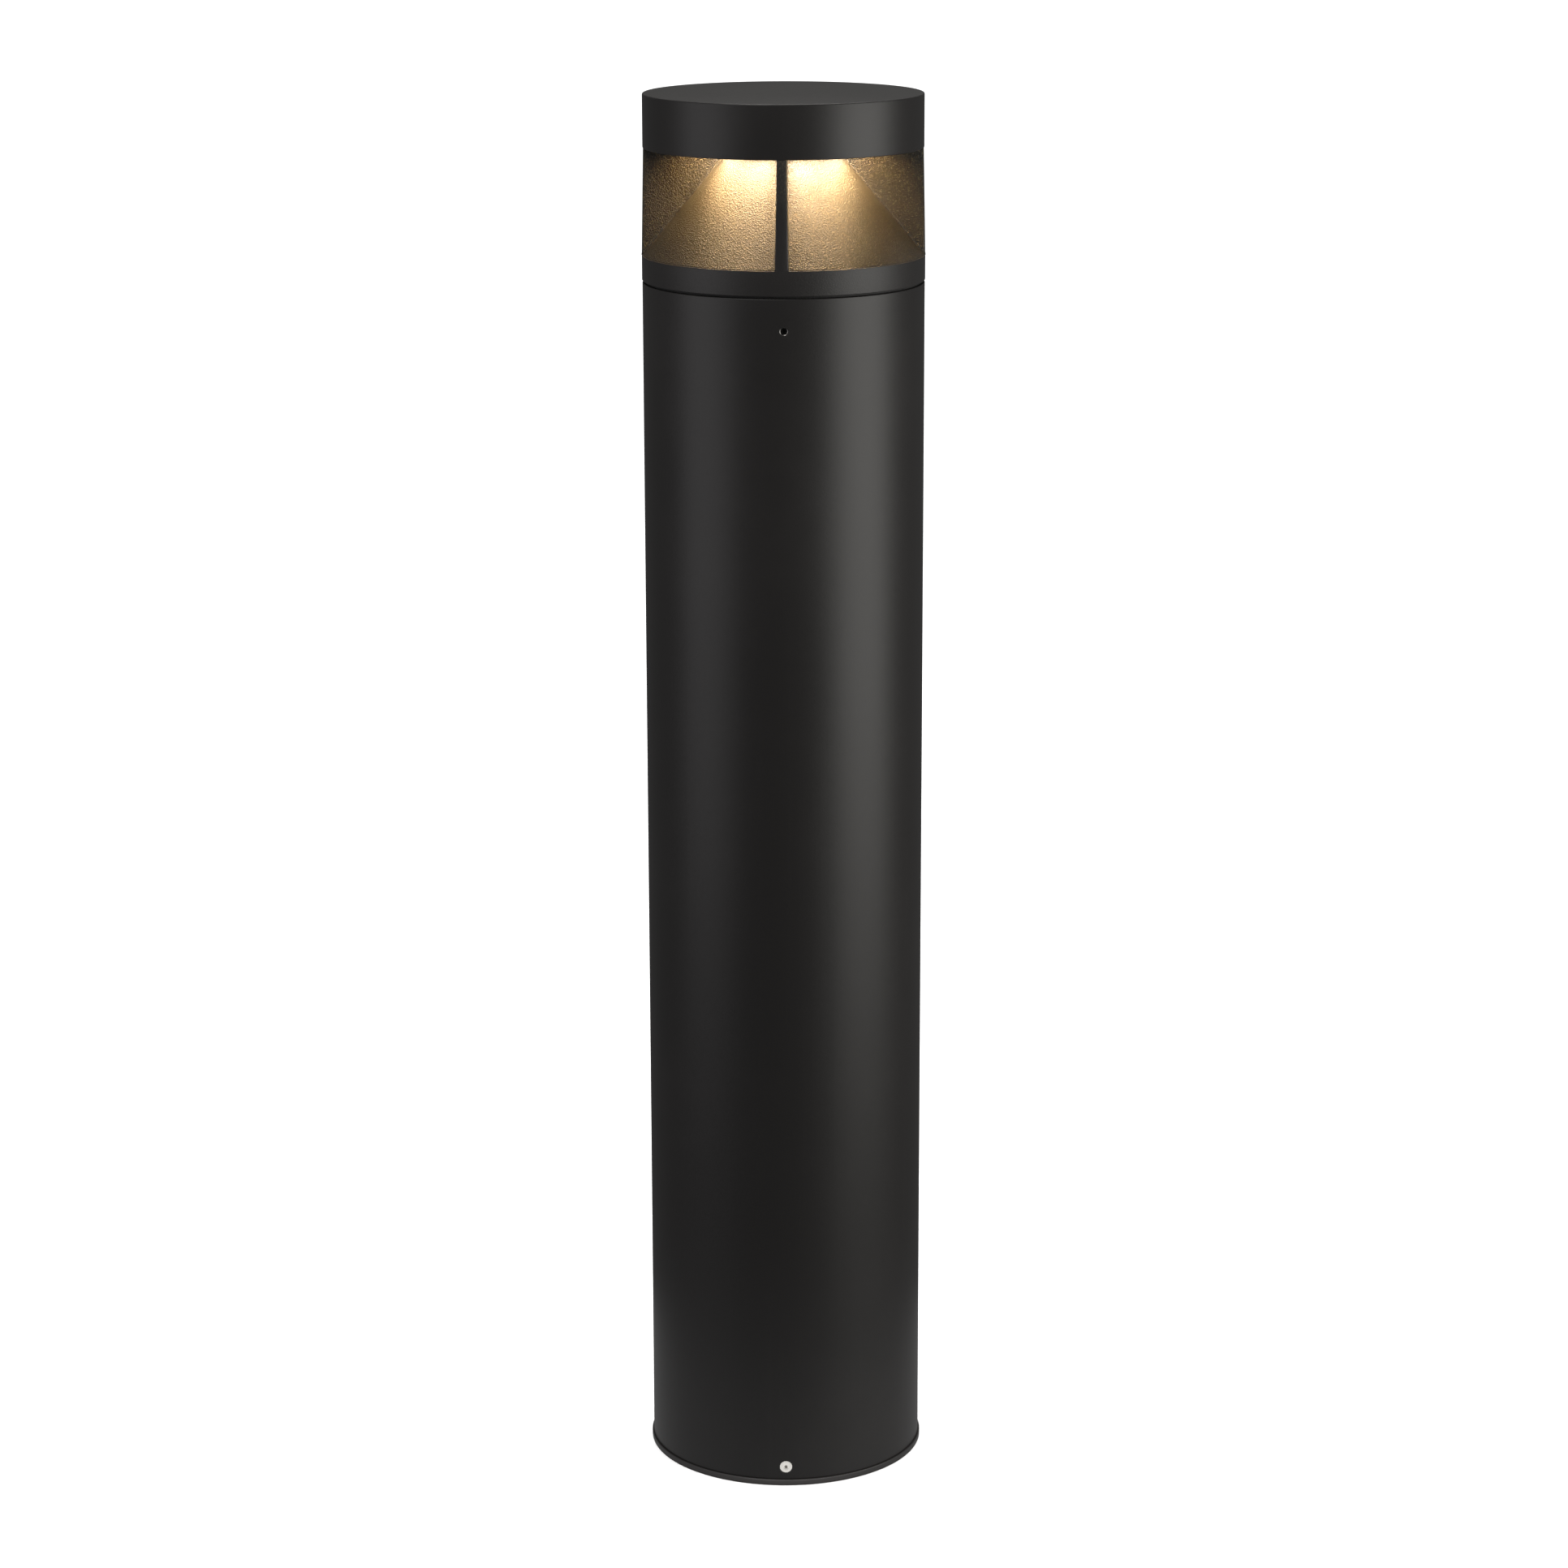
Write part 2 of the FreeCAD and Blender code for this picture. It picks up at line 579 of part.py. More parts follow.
# ---------------------------------------------------------------- cap
def cap_shell():
    shoulder = f"({cap_bottom} + Sizes.frame_thick + Sizes.cap_gasket_thick)"
    ceiling = "(Sizes.overall_height - Sizes.cap_top_thick)"
    body = turned("cap_body", [
        (cap_bore_radius, cap_bottom),
        (cap_radius, cap_bottom),
        (cap_radius, "Sizes.overall_height"),
        ("0", "Sizes.overall_height"),
        ("0", heat_plate_top),
        ("Sizes.cap_hub_dia / 2", heat_plate_top),
        ("Sizes.cap_hub_dia / 2", ceiling),
        (f"({chamber_radius} - Sizes.cap_step)", ceiling),
        (f"({chamber_radius} - Sizes.cap_step)", heat_plate_top),
        (chamber_radius, heat_plate_top),
        (chamber_radius, shoulder),
        (cap_bore_radius, shoulder),
    ])
    round_edges(body, "cap_top_round", "Sizes.cap_edge_round",
                [(cap_radius, "Sizes.overall_height")])
    round_edges(body, "cap_rim_round", "Sizes.edge_round", [(cap_radius, cap_bottom)])
    threads = []
    for index, angle in enumerate(between_angles):
        x, y = polar("Sizes.cap_screw_circle", angle)
        threads.append(rod(f"cap_thread_{index}", "Sizes.screw_dia / 2",
                           "Sizes.thread_depth + 1", x, y, f"{heat_plate_top} - 1"))
    finish(cut("cap", body, threads), "cap_shell", in_head=True)


def sector(name, inner, outer, height, angle, middle, level):
    """A flat ring sector centred on an angle."""
    turn = around(middle - value(angle) / 2)
    whole = make("Cylinder", name + "_outer", z=level, rotation=turn,
                 Radius=outer, Height=height, Angle=angle)
    middle_hole = rod(name + "_inner", inner, f"{height} + 2", z=f"{level} - 1")
    return cut(name, whole, [middle_hole])


def window_sizes(lap):
    """Inner radius, outer radius and angle of a window, with a lap all round."""
    inner = f"(Sizes.window_inner_dia / 2 - {lap})"
    outer = f"(Sizes.window_outer_dia / 2 + {lap})"
    angle = f"(Sizes.window_angle + {lap} * 4 / Sizes.window_inner_dia * 180 / pi)"
    return inner, outer, angle


def lens_frame():
    """Flat frame that closes the cap's underside, with four pillars."""
    disc = ring("frame_disc", "(Sizes.gland_body_dia / 2 + Sizes.frame_thick)",
                f"({cap_bore_radius} - Sizes.assembly_gap)",
                cap_bottom, f"({cap_bottom} + Sizes.frame_thick)")
    inner, outer, angle = window_sizes("0")
    pillars = []
    holes = []
    for index, middle in enumerate(between_angles):
        x, y = polar("Sizes.cap_screw_circle", middle)
        pillars.append(rod(f"pillar_{index}", "Sizes.pillar_dia / 2", "Sizes.chamber_depth",
                           x, y, cap_bottom))
        holes.append(rod(f"pillar_hole_{index}", f"{clear_dia} / 2",
                         "Sizes.chamber_depth + 2", x, y, f"{cap_bottom} - 1"))
        holes.append(sector(f"window_{index}", inner, outer, "Sizes.frame_thick + 2",
                            angle, middle, f"{cap_bottom} - 1"))
    finish(cut("frame", fuse("frame_solid", [disc] + pillars), holes), "lens_frame",
           in_head=True)


def lens_panes():
    gasket_level = f"({cap_bottom} + Sizes.frame_thick)"
    pane_level = f"({gasket_level} + Sizes.lens_gasket_thick)"
    lapped = window_sizes("Sizes.pane_lap")
    window = window_sizes("0")
    for index, middle in enumerate(between_angles, start=1):
        pane = sector(f"pane_{index}", lapped[0], lapped[1], "Sizes.pane_thick",
                      lapped[2], middle, pane_level)
        finish(group(f"pane_part_{index}", [pane]), f"lens_pane_{index}", in_head=True)
        seal = cut(f"lens_seal_{index}",
                   sector(f"seal_outer_{index}", lapped[0], lapped[1],
                          "Sizes.lens_gasket_thick", lapped[2], middle, gasket_level),
                   [sector(f"seal_window_{index}", window[0], window[1],
                           "Sizes.lens_gasket_thick + 2", window[2], middle,
                           f"{gasket_level} - 1")])
        finish(group(f"seal_part_{index}", [seal]), f"lens_gasket_{index}", in_head=True)


def cap_gasket():
    bottom = f"({cap_bottom} + Sizes.frame_thick)"
    finish(ring("cap_seal", f"({chamber_radius} + Sizes.assembly_gap)",
                f"({cap_bore_radius} - Sizes.assembly_gap)", bottom,
                f"({bottom} + Sizes.cap_gasket_thick)"), "cap_gasket", in_head=True)


def heat_plate():
    disc = rod("heat_disc", f"{chamber_radius} - Sizes.assembly_gap",
               "Sizes.heat_plate_thick", z=heat_plate_bottom)
    holes = []
    for index, angle in enumerate(between_angles):
        x, y = polar("Sizes.cap_screw_circle", angle)
        holes.append(rod(f"heat_hole_{index}", f"{clear_dia} / 2",
                         "Sizes.heat_plate_thick + 2", x, y, f"{heat_plate_bottom} - 1"))
    finish(cut("heat", disc, holes), "heat_plate", in_head=True)


def led_board():
    disc = ring("board_disc", "(Sizes.board_bore / 2)", "(Sizes.board_dia / 2)",
                board_bottom, heat_plate_bottom)
    holes = []
    for index, angle in enumerate(between_angles):
        x, y = polar("Sizes.cap_screw_circle", angle)
        holes.append(rod(f"board_hole_{index}", "Sizes.pillar_dia / 2 + Sizes.assembly_gap",
                         "Sizes.board_thick + 2", x, y, f"{board_bottom} - 1"))
    finish(cut("board", disc, holes), "led_board", in_head=True)


def led_chips():
    """Square light sources in two arcs in each quarter of the board."""
    chips = []
    for middle in between_angles:
        for circle, count, pitch in chip_rows:
            for place_in_row in range(count):
                angle = middle + (place_in_row - (count - 1) / 2) * pitch
                x, y = polar(circle, angle)
                chips.append(block(f"chip_{len(chips)}", "Sizes.chip_size",
                                   "Sizes.chip_size", "Sizes.chip_thick", x, y,
                                   f"{board_bottom} - Sizes.chip_thick"))
    finish(group("chips", chips), "led_chips", in_head=True)


def cap_screws():
    length = ("(Sizes.crown_thick + Sizes.chamber_depth + Sizes.heat_plate_thick"
              " + Sizes.thread_depth - 1)")
    screws = []
    for index, angle in enumerate(between_angles):
        screw = cylinder_screw(f"cap_screw_{index}", "Sizes.screw_dia", length,
                               "Sizes.cap_head_dia", "Sizes.cap_head_height",
                               "Sizes.hex_key")
        x, y = polar("Sizes.cap_screw_circle", angle)
        screws.append(place(screw, x, y, f"{cap_bottom} - Sizes.crown_thick",
                            Rotation(Vector(1, 0, 0), 180)))
    finish(group("cap_screw_set", screws), "cap_screws", in_head=True)


# ---------------------------------------------------------------- leads and glands
def cable_gland(label, bore, wall_bottom, wall_thick):
    """Body below a wall, thread through it and a lock nut above."""
    body = make("Prism", label + "_body", z=f"{wall_bottom} - Sizes.gland_body_height",
                Circumradius="Sizes.gland_body_dia / 2", Height="Sizes.gland_body_height")
    height = f"({wall_thick} + Sizes.gland_nut_height)"
    thread = rod(label + "_thread", "Sizes.gland_thread_dia / 2", height, z=wall_bottom)
    nut = make("Prism", label + "_nut", z=f"{wall_bottom} + {wall_thick}",
               Circumradius="Sizes.gland_body_dia / 2", Height="Sizes.gland_nut_height")
    grip = rod(label + "_grip", bore, "Sizes.gland_body_height + 1",
               z=f"{wall_bottom} - Sizes.gland_body_height - 1")
    widening = "Sizes.gland_nut_height"
    passage = rod(label + "_bore", "Sizes.gland_thread_dia / 2 - Sizes.gland_thread_wall",
                  f"{height} + {widening} + 1", z=f"{wall_bottom} - {widening}")
    finish(cut(label + "_part", fuse(label + "_solid", [body, thread, nut]),
               [grip, passage]), label, in_head=True)


def led_connector():
    """Plug block under the board, beside the board's middle hole."""
    x = "(Sizes.lead_bend + Sizes.lead_dia + Sizes.connector_length / 2)"
    finish(block("connector", "Sizes.connector_length", "Sizes.connector_width",
                 "Sizes.connector_height", x, "0",
                 f"{board_bottom} - Sizes.connector_height"),
           "led_connector", in_head=True)


def swept_lead(name, points, bends, radius):
    """A round lead of straight runs joined by tangent arcs."""
    edges = []
    start = points[0]
    for before, corner, after, bend in zip(points, points[1:], points[2:], bends):
        incoming = (corner - before).normalize()
        outgoing = (after - corner).normalize()
        turn = incoming.getAngle(outgoing)
        back = bend * math.tan(turn / 2)
        arc_start = corner - incoming * back
        arc_end = corner + outgoing * back
        inner = (outgoing - incoming).normalize()
        centre = corner + inner * (bend / math.cos(turn / 2))
        arc_middle = centre - inner * bend
        edges.append(Part.LineSegment(start, arc_start).toShape())
        edges.append(Part.Arc(arc_start, arc_middle, arc_end).toShape())
        start = arc_end
    edges.append(Part.LineSegment(start, points[-1]).toShape())
    path = Part.Wire(edges)
    section = Part.Wire(Part.makeCircle(radius, points[0], points[1] - points[0]))
    solid = path.makePipeShell([section], True, False)
    expected = math.pi * radius ** 2 * path.Length
    print(name, "lead", round(path.Length, 1), "mm, bends", bends,
          "volume ratio", round(solid.Volume / expected, 4))
    piece = doc.addObject("Part::Feature", name)
    piece.Shape = solid
    return piece


def led_lead():
    start = value(f"{gear_plate_bottom} - Sizes.driver_drop")
    level = value(f"{board_bottom} - Sizes.connector_height / 2")
    reach = value("Sizes.lead_bend + Sizes.lead_dia")
    lead = swept_lead("led_lead_solid",
                      [Vector(0, 0, start), Vector(0, 0, level), Vector(reach, 0, level)],
                      [value("Sizes.lead_bend")], value("Sizes.lead_dia") / 2)
    finish(group("led_lead_part", [lead]), "led_lead", in_head=True)


def lead_grommet():
    """Rubber grommet where the lead passes the gear plate."""
    lead_radius = "Sizes.lead_dia / 2"
    neck = "(Sizes.grommet_dia / 2 - Sizes.grommet_lip)"
    lip = "Sizes.grommet_dia / 2"
    finish(turned("grommet", [
        (lead_radius, f"({gear_plate_top} + Sizes.grommet_lip)"),
        (lead_radius, f"({gear_plate_bottom} - Sizes.tray_thick - Sizes.grommet_lip)"),
        (lip, f"({gear_plate_bottom} - Sizes.tray_thick - Sizes.grommet_lip)"),
        (lip, f"({gear_plate_bottom} - Sizes.tray_thick)"),
        (neck, f"({gear_plate_bottom} - Sizes.tray_thick)"),
        (neck, gear_plate_top),
        (lip, gear_plate_top),
        (lip, f"({gear_plate_top} + Sizes.grommet_lip)"),
    ]), "lead_grommet", in_head=True)


# ---------------------------------------------------------------- gear below the head
def gear_plate():
    disc = ring("gear_disc", "(Sizes.grommet_dia / 2 - Sizes.grommet_lip)",
                f"({head_bore_radius} - Sizes.assembly_gap)", gear_plate_bottom,
                gear_plate_top)
    holes = []
    for index, angle in enumerate(between_angles):
        x, y = polar("Sizes.lug_circle", angle)
        holes.append(rod(f"gear_hole_{index}", f"{small_clear_dia} / 2",
                         "Sizes.gear_plate_thick + 2", x, y, f"{gear_plate_bottom} - 1"))
    for side in (-1, 1):
        holes.append(rod(f"tray_thread_{side + 1}", "Sizes.small_screw_dia / 2",
                         "Sizes.gear_plate_thick + 2",
                         f"{side} * {tray_screw_x}", "0",
                         f"{gear_plate_bottom} - 1"))
    finish(cut("gear", disc, holes), "gear_plate", in_head=True)


def small_screws(label, length, places, rotation):
    screws = []
    for index, (x, y, z) in enumerate(places):
        screw = cylinder_screw(f"{label}_{index}", "Sizes.small_screw_dia", length,
                               "Sizes.small_head_dia", "Sizes.small_head_height",
                               "Sizes.hex_key")
        screws.append(place(screw, x, y, z, rotation))
    finish(group(label + "_set", screws), label, in_head=True)


tray_front = "(Sizes.driver_depth / 2)"
tray_screw_x = "(Sizes.tray_width / 2 - Sizes.tray_screw_inset)"
driver_top = f"({gear_plate_bottom} - Sizes.driver_drop)"
driver_bottom = f"({driver_top} - Sizes.driver_length)"
box_top = f"({driver_bottom} - Sizes.box_drop)"
box_bottom = f"({box_top} - Sizes.box_height)"


def gear_tray():
    """Folded sheet that hangs from the gear plate and carries the gear."""
    top = gear_plate_bottom
    back = block("tray_back", "Sizes.tray_width", "Sizes.tray_thick", "Sizes.tray_length",
                 y=f"({tray_front} + Sizes.tray_thick / 2)", z=f"({top} - Sizes.tray_length)")
    tab = block("tray_tab", "Sizes.tray_width", "(Sizes.driver_depth + Sizes.tray_thick)",
                "Sizes.tray_thick", y="(Sizes.tray_thick / 2)", z=f"({top} - Sizes.tray_thick)")
    pieces = [back, tab]
    for side in (-1, 1):
        pieces.append(block(
            f"tray_lip_{side + 1}", "Sizes.tray_thick", "Sizes.tray_lip",
            "(Sizes.tray_length - Sizes.driver_drop)",
            x=f"({side} * (Sizes.tray_width - Sizes.tray_thick) / 2)",
            y=f"({tray_front} + Sizes.tray_lip / 2)", z=f"({top} - Sizes.tray_length)"))
    holes = [rod("tray_lead_hole", "Sizes.grommet_dia / 2 - Sizes.grommet_lip",
                 "Sizes.tray_thick + 2",
                 z=f"{top} - Sizes.tray_thick - 1")]
    for side in (-1, 1):
        holes.append(rod(f"tray_hole_{side + 1}", f"{small_clear_dia} / 2",
                         "Sizes.tray_thick + 2", f"{side} * {tray_screw_x}", "0",
                         f"{top} - Sizes.tray_thick - 1"))
    for index, level in enumerate(driver_screw_levels()):
        holes.append(rod(f"driver_thread_{index}", "Sizes.small_screw_dia / 2",
                         "Sizes.tray_thick + 2", "0", f"{tray_front} - 1", level,
                         Rotation(Vector(1, 0, 0), -90)))
    finish(cut("tray", fuse("tray_solid", pieces), holes), "gear_tray", in_head=True)


def driver_screw_levels():
    """Screws through the tabs above and below the driver."""
    return [f"({driver_top} + Sizes.driver_tab / 2)",
            f"({driver_bottom} - Sizes.driver_tab / 2)"]


def led_driver():
    case = block("driver_case", "Sizes.driver_width", "Sizes.driver_depth",
                 "Sizes.driver_length", z=driver_bottom)
    tabs = block("driver_tabs", "Sizes.driver_width", "Sizes.driver_tab_thick",
                 "(Sizes.driver_length + 2 * Sizes.driver_tab)",
                 y=f"({tray_front} - Sizes.driver_tab_thick / 2)",
                 z=f"({driver_bottom} - Sizes.driver_tab)")
    holes = [rod(f"driver_hole_{index}", f"{small_clear_dia} / 2",
                 "Sizes.driver_tab_thick + 2", "0",
                 f"{tray_front} - Sizes.driver_tab_thick - 1", level,
                 Rotation(Vector(1, 0, 0), -90))
             for index, level in enumerate(driver_screw_levels())]
    finish(cut("driver", fuse("driver_solid", [case, tabs]), holes), "led_driver",
           in_head=True)


def terminal_box():
    depth = "(Sizes.driver_depth - Sizes.box_lid_thick)"
    middle = "(Sizes.box_lid_thick / 2)"
    outer = block("box_outer", "Sizes.box_width", depth, "Sizes.box_height",
                  y=middle, z=box_bottom)
    inner = block("box_inner", "Sizes.box_width - 2 * Sizes.box_wall", depth,
                  "Sizes.box_height - 2 * Sizes.box_wall",
                  y=f"({middle} - Sizes.box_wall)", z=f"({box_bottom} + Sizes.box_wall)")
    gland_hole = rod("box_gland_hole", "Sizes.gland_thread_dia / 2",
                     "Sizes.box_wall + 2", z=f"({box_bottom} - 1)")
    lead_hole = rod("box_lead_hole", "Sizes.supply_lead_dia / 2", "Sizes.box_wall + 2",
                    z=f"({box_top} - Sizes.box_wall - 1)")
    finish(cut("box", outer, [inner, gland_hole, lead_hole]), "terminal_box", in_head=True)
    lid = block("box_lid_part", "Sizes.box_width", "Sizes.box_lid_thick", "Sizes.box_height",
                y=f"(Sizes.box_lid_thick / 2 - {tray_front})", z=box_bottom)
    finish(group("box_lid", [lid]), "terminal_box_lid", in_head=True)

    back_wall = f"({tray_front} - Sizes.box_wall)"
    level = f"({box_bottom} + Sizes.box_height / 2)"
    body = block("block_body", "Sizes.block_width", "Sizes.block_depth", "Sizes.block_height",
                 y=f"({back_wall} - Sizes.block_depth / 2)", z=level)
    wells = []
    for pole in range(poles):
        x = f"(({pole} - {(poles - 1) / 2}) * Sizes.block_width / {poles})"
        wells.append(rod(f"well_{pole}", "Sizes.well_dia / 2", "Sizes.well_depth", x,
                         f"{back_wall} - Sizes.block_depth + Sizes.well_inset",
                         f"{level} + Sizes.block_height / 2", Rotation(Vector(1, 0, 0), 90)))
    finish(cut("block", body, wells), "terminal_block", in_head=True)


def supply_lead():
    """Short lead between the terminal box and the driver."""
    lead = rod("supply", "Sizes.supply_lead_dia / 2",
               "(Sizes.box_drop + Sizes.box_wall)", z=f"({box_top} - Sizes.box_wall)")
    finish(group("supply_part", [lead]), "supply_lead", in_head=True)


foot_flange()
foot_spigot()
foot_screws()
earth_stud()
post_tube()
head_set_screws()
post_seal()
head_casting()
cap_shell()
lens_frame()
lens_panes()
cap_gasket()
heat_plate()
led_board()
led_chips()
cap_screws()
cable_gland("led_gland", "Sizes.lead_dia / 2", f"({cap_bottom} - Sizes.crown_thick)",
            "Sizes.crown_thick")
led_connector()
led_lead()
lead_grommet()
gear_plate()
small_screws("gear_plate_screws", "(Sizes.gear_plate_thick + Sizes.thread_depth)",
             [(*polar("Sizes.lug_circle", angle), gear_plate_bottom)
              for angle in between_angles], Rotation(Vector(1, 0, 0), 180))
gear_tray()
small_screws("tray_screws", "(Sizes.tray_thick + Sizes.gear_plate_thick)",
             [(f"{side} * {tray_screw_x}", "0", f"{gear_plate_bottom} - Sizes.tray_thick")
              for side in (-1, 1)], Rotation(Vector(1, 0, 0), 180))
led_driver()
small_screws("driver_screws", "(Sizes.driver_tab_thick + Sizes.tray_thick)",
             [("0", f"{tray_front} - Sizes.driver_tab_thick", level)
              for level in driver_screw_levels()],
             Rotation(Vector(1, 0, 0), 90))
terminal_box()
cable_gland("inlet_gland", "Sizes.inlet_bore_dia / 2", box_bottom, "Sizes.box_wall")
supply_lead()

doc.recompute()
failed = [item.Name for item in doc.Objects if {"Invalid", "Error"} & set(item.State)]
if failed:
    raise RuntimeError("failed objects: " + ", ".join(failed))
for piece in nodes:
    if piece.Shape.isNull() or not piece.Shape.isValid() or not piece.Shape.Solids:
        raise RuntimeError("bad shape: " + piece.Label)

os.makedirs("parts", exist_ok=True)
for piece in nodes:
    piece.Shape.exportStep(f"parts/{piece.Label}.step")
    box = piece.Shape.BoundBox
    print(f"{piece.Label:20} solids {len(piece.Shape.Solids):3}",
          f"z {box.ZMin:7.2f} to {box.ZMax:7.2f}  volume {piece.Shape.Volume / 1000:8.1f} cm3")
print("nodes:", len(nodes))
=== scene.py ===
import math

import bmesh
import bpy
from mathutils import Matrix, Vector


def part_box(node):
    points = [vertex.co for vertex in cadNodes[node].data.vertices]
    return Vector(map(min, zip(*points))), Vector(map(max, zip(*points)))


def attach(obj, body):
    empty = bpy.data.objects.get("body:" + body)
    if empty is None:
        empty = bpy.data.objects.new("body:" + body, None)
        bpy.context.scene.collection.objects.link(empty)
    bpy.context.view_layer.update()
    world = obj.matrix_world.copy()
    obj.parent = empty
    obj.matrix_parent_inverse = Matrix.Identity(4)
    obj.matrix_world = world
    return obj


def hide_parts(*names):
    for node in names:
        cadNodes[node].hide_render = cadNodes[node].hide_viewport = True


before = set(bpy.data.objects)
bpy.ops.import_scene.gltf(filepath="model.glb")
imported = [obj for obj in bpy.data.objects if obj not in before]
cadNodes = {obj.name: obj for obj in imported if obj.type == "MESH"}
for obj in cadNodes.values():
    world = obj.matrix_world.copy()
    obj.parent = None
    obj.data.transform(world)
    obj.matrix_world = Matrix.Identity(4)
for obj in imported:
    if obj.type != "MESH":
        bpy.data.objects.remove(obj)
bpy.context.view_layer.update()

# places read from the frame
def boxOf(node):
    low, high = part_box(node)
    return Vector(low), Vector(high)


def outerRadius(node):
    low, high = boxOf(node)
    return max(high.x - low.x, high.y - low.y) / 2


def middleOf(node):
    low, high = boxOf(node)
    return (low + high) / 2


def ownBox(node):
    # the box of one of the head's nodes in the head's own axes
    back = Matrix.Rotation(-headTurn, 3, "Z")
    world = cadNodes[node].matrix_world
    spots = [back @ (world @ vert.co) for vert in cadNodes[node].data.vertices]
    return [Vector([limit(spot[axis] for spot in spots) for axis in range(3)])
            for limit in (min, max)]


headTurn = math.radians(-0.8)
postLow, postHigh = boxOf("post_tube")
castLow, castHigh = boxOf("head_casting")
capLow, capHigh = boxOf("cap_shell")
postRadius = outerRadius("post_tube")
ringRadius = outerRadius("head_casting")
capRadius = outerRadius("cap_shell")
footScrewLevel = middleOf("foot_screws").z
setScrewLevel = middleOf("head_set_screws").z


# shader expressions
class Wire:    # one socket, with the operators that the materials use
    def __init__(self, graph, socket):
        self.graph = graph
        self.socket = socket

    def math(self, operation, *others):
        return self.graph.node("ShaderNodeMath", {"operation": operation}, [self, *others])

    def __add__(self, other):
        return self.math("ADD", other)

    __radd__ = __add__

    def __mul__(self, other):
        return self.math("MULTIPLY", other)

    __rmul__ = __mul__

    def __sub__(self, other):
        return self.math("SUBTRACT", other)

    def __rsub__(self, other):
        return self.graph.node("ShaderNodeMath", {"operation": "SUBTRACT"}, [other, self])

    def smooth(self, low, high):
        return self.graph.node("ShaderNodeMapRange", {"interpolation_type": "SMOOTHSTEP"},
                               {"Value": self, "From Min": low, "From Max": high})

    def clamp(self):
        return self.graph.node("ShaderNodeClamp", {}, [self])


class Graph:    # one material and its nodes
    def __init__(self, name):
        self.material = bpy.data.materials.new(name)
        self.material.use_nodes = True
        self.tree = self.material.node_tree
        self.shader = self.tree.nodes["Principled BSDF"]
        coordinates = self.tree.nodes.new("ShaderNodeTexCoord")
        self.place = Wire(self, coordinates.outputs["Object"])

    def node(self, kind, settings, inputs, output=0):
        made = self.tree.nodes.new(kind)
        for key, setting in settings.items():
            setattr(made, key, setting)
        pairs = inputs.items() if isinstance(inputs, dict) else enumerate(inputs)
        for key, given in pairs:
            if isinstance(given, Wire):
                self.tree.links.new(given.socket, made.inputs[key])
            else:
                made.inputs[key].default_value = given
        return Wire(self, made.outputs[output])

    def noise(self, scale, detail=2.0, roughness=0.5, vector=None):
        return self.node("ShaderNodeTexNoise", {}, {
            "Vector": vector or self.place, "Scale": scale, "Detail": detail,
            "Roughness": roughness})

    def cells(self, scale):
        return self.node("ShaderNodeTexVoronoi", {"feature": "F1"},
                         {"Vector": self.place, "Scale": scale})

    def stretched(self, x, y, z):
        return self.node("ShaderNodeMapping", {}, {"Vector": self.place, "Scale": (x, y, z)})

    def mix(self, factor, first, second):
        return self.node("ShaderNodeMix", {"data_type": "RGBA"}, {
            0: factor, 6: self.colour(first), 7: self.colour(second)}, output=2)

    def colour(self, given):
        return given if isinstance(given, Wire) else (*given, 1.0)

    def bump(self, height, distance, strength):
        return self.node("ShaderNodeBump", {}, {
            "Height": height, "Distance": distance, "Strength": strength})

    def feed(self, **sockets):
        for name, given in sockets.items():
            socket = self.shader.inputs[name.replace("_", " ")]
            if isinstance(given, Wire):
                self.tree.links.new(given.socket, socket)
            elif isinstance(given, tuple) and len(given) == 3:
                socket.default_value = (*given, 1.0)
            else:
                socket.default_value = given
        return self.material


# finishes
def shade(tone, amount):
    return tuple(part * amount for part in tone)


coatLook = {"tone": (0.0228, 0.0211, 0.0206), "roughness": 0.36, "grain": 0.000088,
            "peelScale": 900.0, "grainScale": 2600.0, "cloudScale": 7.0,
            "streaks": (60.0, 60.0, 1.5)}


def powderCoat(name, look):
    # fine-texture satin powder coat: orange peel under a fine grain, faint dust and rub marks
    g = Graph(name)
    peel = g.noise(look["peelScale"], 3.0, 0.6)
    grain = g.cells(look["grainScale"])
    clouds = g.noise(look["cloudScale"], 4.0, 0.6)
    streaks = g.noise(1.0, 5.0, 0.65, g.stretched(*look["streaks"]))
    dust = (clouds.smooth(0.45, 0.75) * 0.5 + streaks.smooth(0.5, 0.8) * 0.25).clamp()
    colour = g.mix(dust, shade(look["tone"], 0.82), shade(look["tone"], 1.25))
    roughness = look["roughness"] + clouds * 0.05 + grain * 0.06
    normal = g.bump(peel * 0.7 + grain * 0.5, look["grain"], 0.35)
    return g.feed(Base_Color=colour, Roughness=roughness, Normal=normal, Specular_IOR_Level=0.5)


castingLook = {"tone": (0.0188, 0.0160, 0.0110), "roughness": 0.38, "grain": 0.000585,
               # the speck scale and speck tone set the painted glints on the inner faces
               "lumpScale": 620.0, "grainScale": 1100.0, "glintScale": 760.0,
               "glintTone": (0.085, 0.072, 0.040), "blotchScale": 28.0,
               "fineFrom": 0.0012, "fineTo": 0.0006}    # depths where the finer face begins


